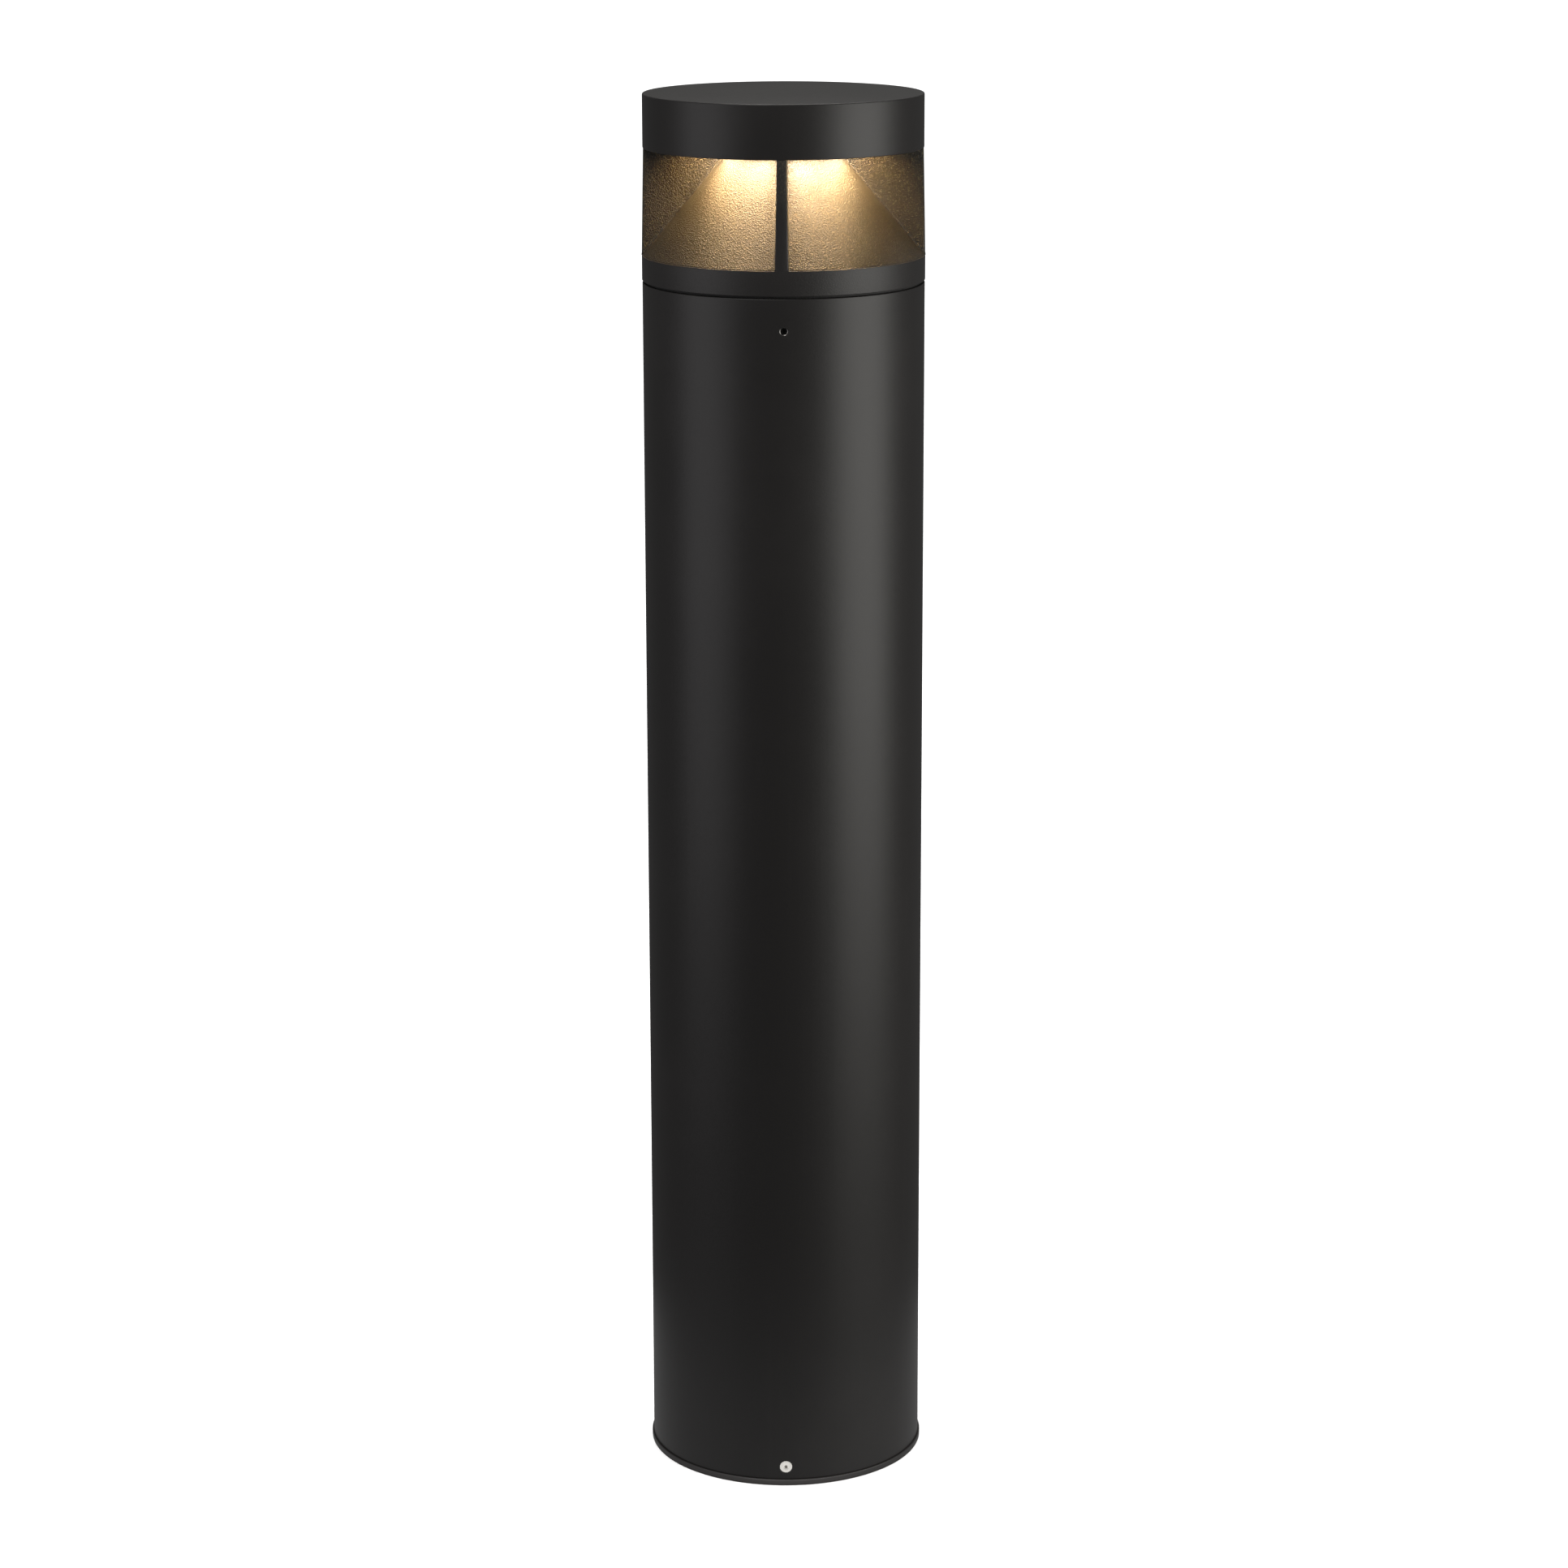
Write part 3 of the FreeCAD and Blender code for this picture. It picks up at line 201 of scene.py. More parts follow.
def texturedCasting(name, look):
    # coarse coat with painted glints: light golden specks painted into the colour stand in for
    # grains catching the lamps' light; the outside face is finer
    g = Graph(name)
    flat = g.stretched(1.0, 1.0, 0.0)
    reach = g.node("ShaderNodeVectorMath", {"operation": "LENGTH"}, [flat], output=1)
    outside = reach.smooth(ringRadius - look["fineFrom"], ringRadius - look["fineTo"])
    lumps = g.noise(look["lumpScale"], 4.0, 0.78)
    grain = g.cells(look["grainScale"])
    # painted glints: golden specks in the base colour stand in for sparkle from the lamps, kept
    # off the outside face
    paintedGlints = g.noise(look["glintScale"], 3.0, 0.7).smooth(0.53, 0.66) * (1.0 - outside)
    blotches = g.noise(look["blotchScale"], 5.0, 0.6)
    colour = g.mix(blotches.smooth(0.3, 0.7), shade(look["tone"], 0.8),
                   shade(look["tone"], 1.25))
    colour = g.mix(paintedGlints * 0.9, colour, look["glintTone"])
    colour = g.mix(outside, colour, coatLook["tone"])
    roughness = (look["roughness"] + grain * 0.10) + outside * 0.02
    height = (lumps * 0.8 + grain * 0.7) * (1.0 - outside * 0.85)
    normal = g.bump(height, look["grain"], 0.9)
    return g.feed(Base_Color=colour, Roughness=roughness, Normal=normal, Specular_IOR_Level=0.5)


def brushedSteel(name, tone, scratchAxis=(1.0, 1.0, 40.0), roughness=0.28):
    g = Graph(name)
    lines = g.noise(300.0, 5.0, 0.7, g.stretched(*scratchAxis))
    spots = g.noise(90.0, 3.0, 0.5)
    colour = g.mix(lines, shade(tone, 0.8), tone)
    normal = g.bump(lines, 0.00005, 0.5)
    return g.feed(Base_Color=colour, Metallic=1.0, Roughness=roughness + spots * 0.15,
                  Normal=normal)


def rubber(name, tone=(0.012, 0.012, 0.012)):
    g = Graph(name)
    dust = g.noise(160.0, 4.0, 0.6)
    colour = g.mix(dust.smooth(0.45, 0.8), tone, shade(tone, 2.2))
    return g.feed(Base_Color=colour, Roughness=0.62 + dust * 0.2,
                  Normal=g.bump(g.noise(1400.0), 0.00005, 0.5))


def mouldedPlastic(name, tone, roughness=0.42, grain=1800.0):
    g = Graph(name)
    clouds = g.noise(22.0, 4.0, 0.6)
    spark = g.cells(grain)
    colour = g.mix(clouds, shade(tone, 0.9), tone)
    return g.feed(Base_Color=colour, Roughness=roughness + spark * 0.1 + clouds * 0.05,
                  Normal=g.bump(spark, 0.00006, 0.5))


def clearPane(name):
    g = Graph(name)
    haze = g.noise(45.0, 4.0, 0.6)
    return g.feed(Base_Color=(0.93, 0.95, 0.94), Roughness=0.06 + haze * 0.08,
                  Alpha=0.10 + haze * 0.08, IOR=1.58,
                  Normal=g.bump(g.cells(420.0), 0.0002, 0.35))


def boardFace(name):
    # white solder mask with copper showing through as faint tracks
    g = Graph(name)
    tracks = g.node("ShaderNodeTexBrick", {}, {
        "Vector": g.place, "Scale": 60.0, "Mortar Size": 0.03, "Mortar Smooth": 0.2,
        "Bias": 0.0, "Brick Width": 0.6, "Row Height": 0.3}, output=1)
    colour = g.mix(tracks, (0.78, 0.77, 0.72), (0.60, 0.58, 0.52))
    return g.feed(Base_Color=colour, Roughness=0.35 + g.noise(300.0) * 0.1,
                  Normal=g.bump(tracks, 0.00005, 0.6))


def litChip(name):
    # yellow phosphor that glows warm white
    g = Graph(name)
    phosphor = g.noise(1500.0, 3.0, 0.6)
    glow = g.mix(phosphor, (1.0, 0.74, 0.40), (1.0, 0.86, 0.60))
    return g.feed(Base_Color=(0.85, 0.62, 0.18), Roughness=0.5 + phosphor * 0.1,
                  Emission_Color=glow, Emission_Strength=9.0)


def castAluminium(name, tone=(0.58, 0.59, 0.60)):
    # milled face: fine circles round the axis
    g = Graph(name)
    rings = g.node("ShaderNodeTexWave", {"wave_type": "RINGS", "rings_direction": "Z"},
                   {"Vector": g.place, "Scale": 420.0, "Distortion": 0.4, "Detail": 2.0})
    stains = g.noise(35.0, 4.0, 0.6)
    colour = g.mix(rings * 0.5 + stains * 0.5, shade(tone, 0.85), tone)
    return g.feed(Base_Color=colour, Metallic=1.0, Roughness=0.3 + stains * 0.15,
                  Normal=g.bump(rings, 0.00003, 0.5))


def dress(node, material):
    slots = cadNodes[node].data.materials
    slots.clear()
    slots.append(material)


print("finishes")
coat = powderCoat("blackCoat", coatLook)
casting = texturedCasting("blackCasting", castingLook)
stainless = brushedSteel("stainless", (0.74, 0.72, 0.69))
zincSheet = brushedSteel("zincSheet", (0.62, 0.65, 0.68), (1.0, 1.0, 6.0), 0.35)
screwSteel = brushedSteel("screwSteel", (0.86, 0.84, 0.80), (1.0, 1.0, 8.0), 0.36)
wornSteel = brushedSteel("wornSteel", (0.26, 0.25, 0.24), (1.0, 1.0, 8.0), 0.30)
darkSteel = brushedSteel("darkSteel", (0.02, 0.02, 0.02), (1.0, 1.0, 8.0), 0.42)
brass = brushedSteel("brass", (0.78, 0.60, 0.28), (1.0, 1.0, 12.0), 0.25)
blackRubber = rubber("blackRubber")
blackNylon = mouldedPlastic("blackNylon", (0.02, 0.02, 0.021))
leadSheath = mouldedPlastic("leadSheath", (0.025, 0.025, 0.026), 0.5, 900.0)
greyBox = mouldedPlastic("greyBox", (0.30, 0.31, 0.32))
driverCase = mouldedPlastic("driverCase", (0.72, 0.72, 0.69))
creamNylon = mouldedPlastic("creamNylon", (0.66, 0.62, 0.52), 0.38)
pane = clearPane("clearPane")
whiteBoard = boardFace("whiteBoard")
chipGlow = litChip("chipGlow")
milled = castAluminium("milledAluminium")

finishOf = {
    "base_flange": coat, "foot_spigot": coat, "post_tube": coat, "cap_shell": coat,
    "head_casting": casting, "lens_frame": casting, "foot_screws": stainless,
    "head_set_screws": stainless, "cap_screws": stainless, "gear_plate_screws": stainless,
    "tray_screws": stainless, "driver_screws": stainless, "earth_stud": brass,
    "post_seal": blackRubber, "cap_gasket": blackRubber, "lead_grommet": blackRubber,
    "heat_plate": milled, "gear_plate": milled, "led_board": whiteBoard,
    "led_chips": chipGlow, "led_gland": blackNylon, "inlet_gland": blackNylon,
    "led_connector": creamNylon, "terminal_block": creamNylon, "led_lead": leadSheath,
    "supply_lead": leadSheath, "gear_tray": zincSheet, "led_driver": driverCase,
    "terminal_box": greyBox, "terminal_box_lid": greyBox,
}
for side in range(1, 5):
    finishOf[f"lens_pane_{side}"] = pane
    finishOf[f"lens_gasket_{side}"] = blackRubber
for node, material in finishOf.items():
    dress(node, material)


# making pieces
hair = 0.0001    # the smallest step between two edges
nodeBody = {"post_seal": "seal"}
for node in ("base_flange", "foot_spigot", "foot_screws", "earth_stud", "post_tube",
             "head_set_screws"):
    nodeBody[node] = "post"
sharpAngle = math.radians(32.0)


def roundedOutline(corners, arcSteps=5):
    # corners are (radius, height) or (radius, height, rounding)
    spots = [Vector(corner[:2]) for corner in corners]
    points = []
    for index, corner in enumerate(corners):
        here = spots[index]
        if len(corner) == 2:
            points.append(here)
            continue
        before = (spots[index - 1] - here).normalized()
        after = (spots[(index + 1) % len(spots)] - here).normalized()
        half = before.angle(after) / 2
        centre = here + (before + after).normalized() * corner[2] / math.sin(half)
        start = here + before * corner[2] / math.tan(half) - centre
        end = here + after * corner[2] / math.tan(half) - centre
        sweep = start.angle(end)
        for step in range(arcSteps + 1):
            part = step / arcSteps
            points.append(centre + (start * math.sin((1 - part) * sweep)
                                    + end * math.sin(part * sweep)) / math.sin(sweep))
    return points


def turnedShape(corners, steps=192):
    # a closed outline turned about Z
    shape = bmesh.new()
    verts = [shape.verts.new((point.x, 0.0, point.y)) for point in roundedOutline(corners)]
    edges = [shape.edges.new(pair) for pair in zip(verts, verts[1:] + verts[:1])]
    bmesh.ops.spin(shape, geom=verts + edges, cent=(0, 0, 0), axis=(0, 0, 1),
                   angle=2 * math.pi, steps=steps, use_merge=True)
    bmesh.ops.remove_doubles(shape, verts=shape.verts, dist=1e-6)
    bmesh.ops.dissolve_degenerate(shape, edges=shape.edges, dist=1e-6)
    return shape


def hexed(shape, nearest, farthest):
    # the round walls between these two radii become hexagonal
    for vert in shape.verts:
        reach = vert.co.xy.length
        if nearest < reach < farthest:
            turn = math.atan2(vert.co.y, vert.co.x) % (math.pi / 3) - math.pi / 6
            vert.co.xy *= math.cos(math.pi / 6) / math.cos(turn)
    return shape


def joined(parts):
    # one shape from (shape, places): a copy of every shape at each of its places
    whole = bmesh.new()
    for shape, places in parts:
        mesh = bpy.data.meshes.new("copy")
        shape.to_mesh(mesh)
        shape.free()
        for place in places:
            whole.verts.ensure_lookup_table()
            first = len(whole.verts)
            whole.from_mesh(mesh)
            whole.verts.ensure_lookup_table()
            bmesh.ops.transform(whole, matrix=place, verts=whole.verts[first:])
        bpy.data.meshes.remove(mesh)
    return whole


def outwardPlace(bearing, reach, level):
    # turns +Z outwards at this bearing
    turn = Matrix.Rotation(bearing, 4, "Z") @ Matrix.Rotation(math.pi / 2, 4, "Y")
    return Matrix.Translation((reach * math.cos(bearing), reach * math.sin(bearing), level)) @ turn


def aroundPlace(bearing, reach=0.0, level=0.0, flip=False):
    turn = Matrix.Rotation(math.pi if flip else 0.0, 4, "X")
    return (Matrix.Rotation(bearing, 4, "Z") @ Matrix.Translation((reach, 0.0, level)) @ turn)


def finishPiece(name, shape, nodes, material):
    # recalculates normals, marks sharp edges and sets the piece in the frame
    print("piece", name, len(shape.faces), "faces")
    body = nodeBody.get(nodes[0], "head")
    if body == "head":
        bmesh.ops.rotate(shape, verts=shape.verts, cent=(0, 0, 0),
                         matrix=Matrix.Rotation(headTurn, 3, "Z"))
    bmesh.ops.recalc_face_normals(shape, faces=shape.faces)
    for face in shape.faces:
        face.smooth = True
    for edge in shape.edges:
        edge.smooth = len(edge.link_faces) == 2 and edge.calc_face_angle() < sharpAngle
    mesh = bpy.data.meshes.new(name)
    shape.to_mesh(mesh)
    shape.free()
    mesh.materials.append(material)
    piece = bpy.data.objects.new(name, mesh)
    bpy.context.scene.collection.objects.link(piece)
    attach(piece, body)
    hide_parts(*nodes)
    return piece


def softBlock(low, high, rounding, segments=3):
    # a box with rounded edges between two corners
    shape = bmesh.new()
    size = high - low
    bmesh.ops.create_cube(shape, size=1.0, matrix=Matrix.Translation((low + high) / 2)
                          @ Matrix.Diagonal((*size, 1.0)))
    bmesh.ops.bevel(shape, geom=shape.edges[:], offset=rounding, segments=segments,
                    profile=0.5, affect="EDGES", material=-1)
    return shape


still = Matrix.Identity(4)
facingFront = Matrix.Rotation(math.pi / 2, 4, "X")
sideBearings = [math.radians(angle) for angle in (-90, 30, 150)]
quarterBearings = [math.radians(angle) for angle in (0, 90, 180, 270)]
betweenBearings = [math.radians(angle) for angle in (45, 135, 225, 315)]


# post with its countersinks and set screw holes
postLook = {"edge": 0.0006, "columns": 360, "patch": 5, "holeSteps": 40, "wall": 0.004,
            "sinkRadius": 0.00495, "sinkCone": 0.0023, "setRadius": 0.0025,
            "setChamfer": 0.00055, "holeDepth": 0.0038}


def openHole(shape, bearing, level, pitch, walls):
    # clears a patch of the wall's grid, then joins its edge to rings of (radius, depth)
    across = Vector((-math.sin(bearing), math.cos(bearing), 0.0))
    out = Vector((math.cos(bearing), math.sin(bearing), 0.0))
    reach = (postLook["patch"] - 0.5) * pitch
    inner = [vert for vert in shape.verts
             if abs(vert.co.z - level) < reach and abs(vert.co.dot(across)) < reach
             and vert.co.dot(out) > postRadius - postLook["wall"] / 2]
    bmesh.ops.delete(shape, geom=inner, context="VERTS")
    rim = [edge for edge in shape.edges if edge.is_boundary
           and edge.verts[0].co.dot(out) > 0.9 * postRadius
           and abs(edge.verts[0].co.z - level) < 2 * reach]
    for radius, depth in walls:
        ringVerts = bmesh.ops.create_circle(
            shape, cap_ends=False, segments=postLook["holeSteps"], radius=radius,
            matrix=outwardPlace(bearing, postRadius, level))["verts"]
        for vert in ringVerts:
            aside = vert.co.dot(across)
            drop = math.sqrt((postRadius - depth) ** 2 - aside ** 2) - postRadius
            vert.co += out * drop
        ringEdges = list({edge for vert in ringVerts for edge in vert.link_edges})
        bmesh.ops.bridge_loops(shape, edges=rim + ringEdges)
        rim = ringEdges


def postTube():
    low, high = postLow.z, postHigh.z
    bore = postRadius - postLook["wall"]
    pitch = 2 * math.pi * postRadius / postLook["columns"]
    rows = [level + step * pitch for level in (footScrewLevel, setScrewLevel)
            for step in range(-postLook["patch"], postLook["patch"] + 1)]
    shape = turnedShape([(bore, low), (postRadius, low, postLook["edge"])]
                        + [(postRadius, row) for row in rows]
                        + [(postRadius, high, postLook["edge"]), (bore, high)],
                        postLook["columns"])
    sink, cone, deep = postLook["sinkRadius"], postLook["sinkCone"], postLook["holeDepth"]
    hole, chamfer = postLook["setRadius"], postLook["setChamfer"]
    for bearing in sideBearings:
        openHole(shape, bearing, footScrewLevel, pitch,
                 [(sink, 0.0), (sink - cone, cone), (sink - cone, deep)])
        openHole(shape, bearing, setScrewLevel, pitch,
                 [(hole + chamfer, 0.0), (hole, chamfer), (hole, deep)])
    finishPiece("postTube", shape, ["post_tube"], coat)


# foot flange with its anchor holes
footLook = {"edge": 0.0006, "lip": 0.0045, "floor": 0.008, "bore": 0.03, "anchorCircle": 0.07,
            "anchorRadius": 0.0055, "anchorSteps": 32, "spigotWall": 0.008,
            "spigotEdge": 0.0008, "gap": 0.0003}


def holedPlate(outer, bore, bottom, top, circle, radius, bearings, steps=192):
    # a flat ring with small round holes: the outlines are filled, then pulled up
    shape = bmesh.new()
    outlines = [(outer, still, steps), (bore, still, steps // 2)]
    outlines += [(radius, aroundPlace(bearing, circle), footLook["anchorSteps"])
                 for bearing in bearings]
    for size, place, segments in outlines:
        bmesh.ops.create_circle(shape, cap_ends=False, segments=segments, radius=size,
                                matrix=Matrix.Translation((0, 0, bottom)) @ place)
    bmesh.ops.triangle_fill(shape, use_beauty=True, use_dissolve=False, edges=shape.edges)
    pulled = bmesh.ops.extrude_face_region(shape, geom=shape.faces[:], use_keep_orig=True)
    bmesh.ops.translate(shape, vec=(0, 0, top - bottom), verts=[
        item for item in pulled["geom"] if isinstance(item, bmesh.types.BMVert)])
    return shape


def footFlange():
    spigot = postRadius - postLook["wall"] - footLook["gap"]
    inside = spigot - footLook["spigotWall"]
    lip, edge, top = footLook["lip"], footLook["edge"], boxOf("foot_spigot")[1].z
    rimShape = turnedShape([(inside, 0.0), (outerRadius("base_flange"), 0.0, edge),
                            (outerRadius("base_flange"), lip, edge), (spigot, lip),
                            (spigot, top, footLook["spigotEdge"]),
                            (inside, top, footLook["spigotEdge"])])
    floorShape = holedPlate(inside, footLook["bore"], 0.0, footLook["floor"],
                            footLook["anchorCircle"], footLook["anchorRadius"],
                            betweenBearings)
    finishPiece("footFlange", joined([(rimShape, [still]), (floorShape, [still])]),
                ["base_flange", "foot_spigot"], coat)


# screws
screwLook = {
    "steps": 48, "edge": 0.0003, "pitch": 0.0008, "groove": 0.0004,
    # head radius, shank radius, length, hexagon across the flats, socket depth
    "foot": {"head": 0.0047, "shank": 0.0025, "length": 0.012, "key": 0.0022, "socket": 0.0024,
             "sunk": 0.00015},
    "set": {"radius": 0.00245, "length": 0.00235, "key": 0.0025, "socket": 0.0016,
            "sunk": 0.0013},
    "collar": {"inner": 0.00238, "outer": 0.00285, "top": 0.0002, "depth": 0.0006},
    # head radius, head height, shank radius, hexagon across the flats, distance from the middle
    "cap": {"head": 0.00425, "tall": 0.005, "shank": 0.0025, "key": 0.003, "circle": 0.028},
    "gear": {"head": 0.0035, "tall": 0.004, "shank": 0.002, "key": 0.003, "circle": 0.083},
    "tray": {"head": 0.0035, "tall": 0.004, "shank": 0.002, "key": 0.003, "circle": 0.038},
    "driver": {"head": 0.0035, "tall": 0.004, "shank": 0.002, "key": 0.003},
    "lid": {"head": 0.003, "tall": 0.0006, "shank": 0.0015, "key": 0.0017, "length": 0.002},
}


def threadOutline(radius, start, end):
    # grooves that read as a thread
    pitch = screwLook["pitch"]
    count = int(abs(end - start) / pitch)
    points = []
    for turn in range(count):
        level = start - turn * pitch
        points += [(radius, level), (radius - screwLook["groove"], level - pitch / 2)]
    return points + [(radius, start - count * pitch), (radius - screwLook["groove"], end)]


def countersunkScrew(look):
    # top face at zero, hexagon socket, cone under the head, thread grooves on the shank
    head, shank, length = look["head"], look["shank"], look["length"]
    corner = look["key"] / math.sqrt(3)
    rim = 1.5 * hair
    outline = [(0.0, -look["socket"] - corner * 0.3), (corner, -look["socket"]),
               (corner, -rim), (corner + rim, 0.0),
               (head, 0.0, screwLook["edge"] / 2), (shank, shank - head)]
    outline += threadOutline(shank, shank - head - screwLook["pitch"], -length)
    shape = turnedShape(outline + [(0.0, -length)], screwLook["steps"])
    return hexed(shape, hair, corner + hair)


def cylinderScrew(look, whole):
    # underside of the head at zero, shank below
    head, tall, shank = look["head"], look["tall"], look["shank"]
    corner = look["key"] / math.sqrt(3)
    edge = screwLook["edge"]
    outline = [(0.0, tall * 0.4), (corner, tall * 0.5), (corner, tall - hair),
               (corner + 2 * hair, tall), (head, tall, edge), (head, 0.0, edge / 2), (shank, 0.0)]
    outline += threadOutline(shank, -screwLook["pitch"], tall - whole)
    shape = turnedShape(outline + [(0.0, tall - whole)], screwLook["steps"])
    return hexed(shape, hair, corner + hair)


def setScrew(look):
    # open face at zero, hexagon socket
    corner = look["key"] / math.sqrt(3)
    shape = turnedShape([
        (0.0, -look["socket"] * 1.25), (corner, -look["socket"]), (corner, -hair),
        (corner + hair, 0.0), (look["radius"], 0.0, screwLook["edge"]),
        (look["radius"], -look["length"]), (0.0, -look["length"])], screwLook["steps"])
    return hexed(shape, hair, corner + hair / 2)


def allScrews():
    print("screws")
    look = screwLook["foot"]
    places = [outwardPlace(bearing, postRadius - look["sunk"], footScrewLevel)
              for bearing in sideBearings]
    finishPiece("footScrews", joined([(countersunkScrew(look), places)]), ["foot_screws"],
                screwSteel)
    look = screwLook["set"]
    places = [outwardPlace(bearing, postRadius - look["sunk"], setScrewLevel)
              for bearing in sideBearings]
    finishPiece("headSetScrews", joined([(setScrew(look), places)]), ["head_set_screws"],
                darkSteel)
    # bright collar left where the set screws were driven home
    look = screwLook["collar"]
    collar = turnedShape([(look["inner"], -look["depth"]), (look["outer"], -look["top"]),
                          (look["outer"], -look["depth"])], screwLook["steps"])
    places = [outwardPlace(bearing, postRadius, setScrewLevel) for bearing in sideBearings]
    finishPiece("setScrewCollars", joined([(collar, places)]), ["head_set_screws"], wornSteel)

    rows = (("capScrews", "cap_screws", "cap", betweenBearings),
            ("gearPlateScrews", "gear_plate_screws", "gear", betweenBearings),
            ("trayScrews", "tray_screws", "tray", (0.0, math.pi)))
    for name, node, kind, bearings in rows:
        look = screwLook[kind]
        low, high = boxOf(node)
        places = [aroundPlace(bearing, look["circle"], low.z + look["tall"], True)
                  for bearing in bearings]
        screw = cylinderScrew(look, high.z - low.z)
        finishPiece(name, joined([(screw, places)]), [node], stainless)
    look = screwLook["driver"]
    low, high = ownBox("driver_screws")
    screw = cylinderScrew(look, high.y - low.y)
    places = [Matrix.Translation((0.0, low.y + look["tall"], level)) @ facingFront
              for level in (low.z + look["head"], high.z - look["head"])]
    finishPiece("driverScrews", joined([(screw, places)]), ["driver_screws"], stainless)


# seal in the shadow gap
sealLook = {"edge": 0.0004}


def postSeal():
    low, high = boxOf("post_seal")
    outer, inner = outerRadius("post_seal"), postRadius - postLook["wall"]
    finishPiece("postSeal", turnedShape([
        (inner, low.z), (outer, low.z, sealLook["edge"]), (outer, high.z, sealLook["edge"]),
        (inner, high.z)]), ["post_seal"], blackRubber)


# head casting: ring, cone, spigot, lugs and fins
castLook = {"edge": 0.0004, "land": 0.0007, "topRadius": 0.036, "wall": 0.005, "crown": 0.006,
            "ringHeight": 0.0174, "spigotWall": 0.005, "glandHole": 0.00815, "steps": 240,
            "lugRadius": 0.008, "lugHeight": 0.03, "lugEdge": 0.0005, "lugCircle": 0.083}
finLook = {"base": 0.009, "tip": 0.0064, "lean": 0.0015, "root": 0.0025, "edge": 0.0009,
           "fillet": 0.0012,
           # grid: columns over the side, columns round the edge, rows, share in the open air
           "across": 26, "rounds": 6, "upwards": 40, "open": 0.35}


def finShape(ringTop, coneBase):
    # one half of a fin is a grid laid over its side, its outer edge and its root fillet
    across, rounds, openShare = finLook["across"], finLook["rounds"], finLook["open"]
    edge, fillet = finLook["edge"], finLook["fillet"]
    height = castHigh.z - ringTop
    shape = bmesh.new()
    bmesh.ops.create_grid(shape, x_segments=across, y_segments=finLook["upwards"], size=1.0)
    for vert in shape.verts:
        column = round((vert.co.x + 1.0) / 2.0 * across)
        part = (vert.co.y + 1.0) / 2.0
        half = (finLook["base"] * (1 - part) + finLook["tip"] * part) / 2
        outer = ringRadius - finLook["lean"] * part
        cone = coneBase + (castLook["topRadius"] - coneBase) * part
        if column <= rounds:
            # quarter round from the outer edge's middle line to the fin's side
            turn = math.pi / 2 * column / rounds
            reach = outer - edge * (1 - math.cos(turn))
            aside = half - edge + edge * math.sin(turn) if column else 0.0
        else:
            # along the side, then down the fillet and into the cone
            along = (column - rounds) / (across - rounds)
            start, near, end = outer - edge, cone + fillet, cone - finLook["root"]
            if along < openShare:
                reach = start + (near - start) * along / openShare
            else:
                reach = near + (end - near) * (along - openShare) / (1 - openShare)
            sunk = min(max(near - reach, 0.0), fillet * 0.97)
            aside = half + fillet - math.sqrt(fillet ** 2 - sunk ** 2)
        vert.co = (reach, aside, ringTop + height * part)
    bmesh.ops.mirror(shape, geom=shape.verts[:] + shape.edges[:] + shape.faces[:],
                     axis="Y", merge_dist=1e-7)
    return shape


def headCasting():
    spigot = postRadius - postLook["wall"] - footLook["gap"]
    bore = spigot - castLook["spigotWall"]
    ringBottom = boxOf("post_seal")[1].z
    ringTop = ringBottom + castLook["ringHeight"]
    coneTop, coneBase = castLook["topRadius"], ringRadius - castLook["land"]
    slope = (coneBase - coneTop) / (capLow.z - ringTop)
    crownLevel = capLow.z - castLook["crown"]
    wallTop = coneTop + slope * castLook["crown"] - castLook["wall"]
    wallFoot = ringTop + (coneBase - castLook["wall"] - bore) / slope
    edge, hole = castLook["edge"], castLook["glandHole"]
    bell = turnedShape([
        (spigot, castLow.z, edge), (spigot, ringBottom), (ringRadius, ringBottom, edge),
        (ringRadius, ringTop, edge), (coneBase, ringTop, edge / 2), (coneTop, capLow.z),
        (hole, capLow.z), (hole, crownLevel), (wallTop, crownLevel), (bore, wallFoot),
        (bore, castLow.z, edge)], castLook["steps"])
    lugRadius, lugHeight = castLook["lugRadius"], castLook["lugHeight"]
    lug = turnedShape([(0.0, 0.0), (lugRadius, 0.0, castLook["lugEdge"]),
                       (lugRadius, lugHeight), (0.0, lugHeight)], 48)
    gearTop = boxOf("gear_plate")[1].z
    finishPiece("headCasting", joined([
        (bell, [still]),
        (finShape(ringTop, coneBase), [aroundPlace(bearing) for bearing in quarterBearings]),
        (lug, [aroundPlace(bearing, castLook["lugCircle"], gearTop)
               for bearing in betweenBearings]),
    ]), ["head_casting"], casting)


# cap
capLook = {"edge": 0.0009, "rim": 0.0006, "wall": 0.004, "shoulder": 0.00325, "step": 0.005,
           "hub": 0.034, "shoulderHeight": 0.005, "topThick": 0.006, "steps": 256}


def capShell():
    low, high = capLow.z, capHigh.z
    bore = capRadius - capLook["wall"]
    chamber = bore - capLook["shoulder"]
    inner = chamber - capLook["step"]
    plateTop = boxOf("heat_plate")[1].z
    ceiling = high - capLook["topThick"]
    shoulder = low + capLook["shoulderHeight"]
    finishPiece("capShell", turnedShape([
        (bore, low, capLook["rim"]), (capRadius, low, capLook["rim"]),
        (capRadius, high, capLook["edge"]), (0.0, high), (0.0, plateTop),
        (capLook["hub"], plateTop), (capLook["hub"], ceiling), (inner, ceiling),
        (inner, plateTop), (chamber, plateTop), (chamber, shoulder), (bore, shoulder)],
        capLook["steps"]), ["cap_shell"], coat)


# light sources: a domed lens on each
chipLook = {"rows": ((0.070, 6, 11.0), (0.054, 4, 14.0)),    # radius, count, degrees apart
            "base": 0.0015, "sunk": 0.0002, "dome": 0.00125, "flatten": 0.45}


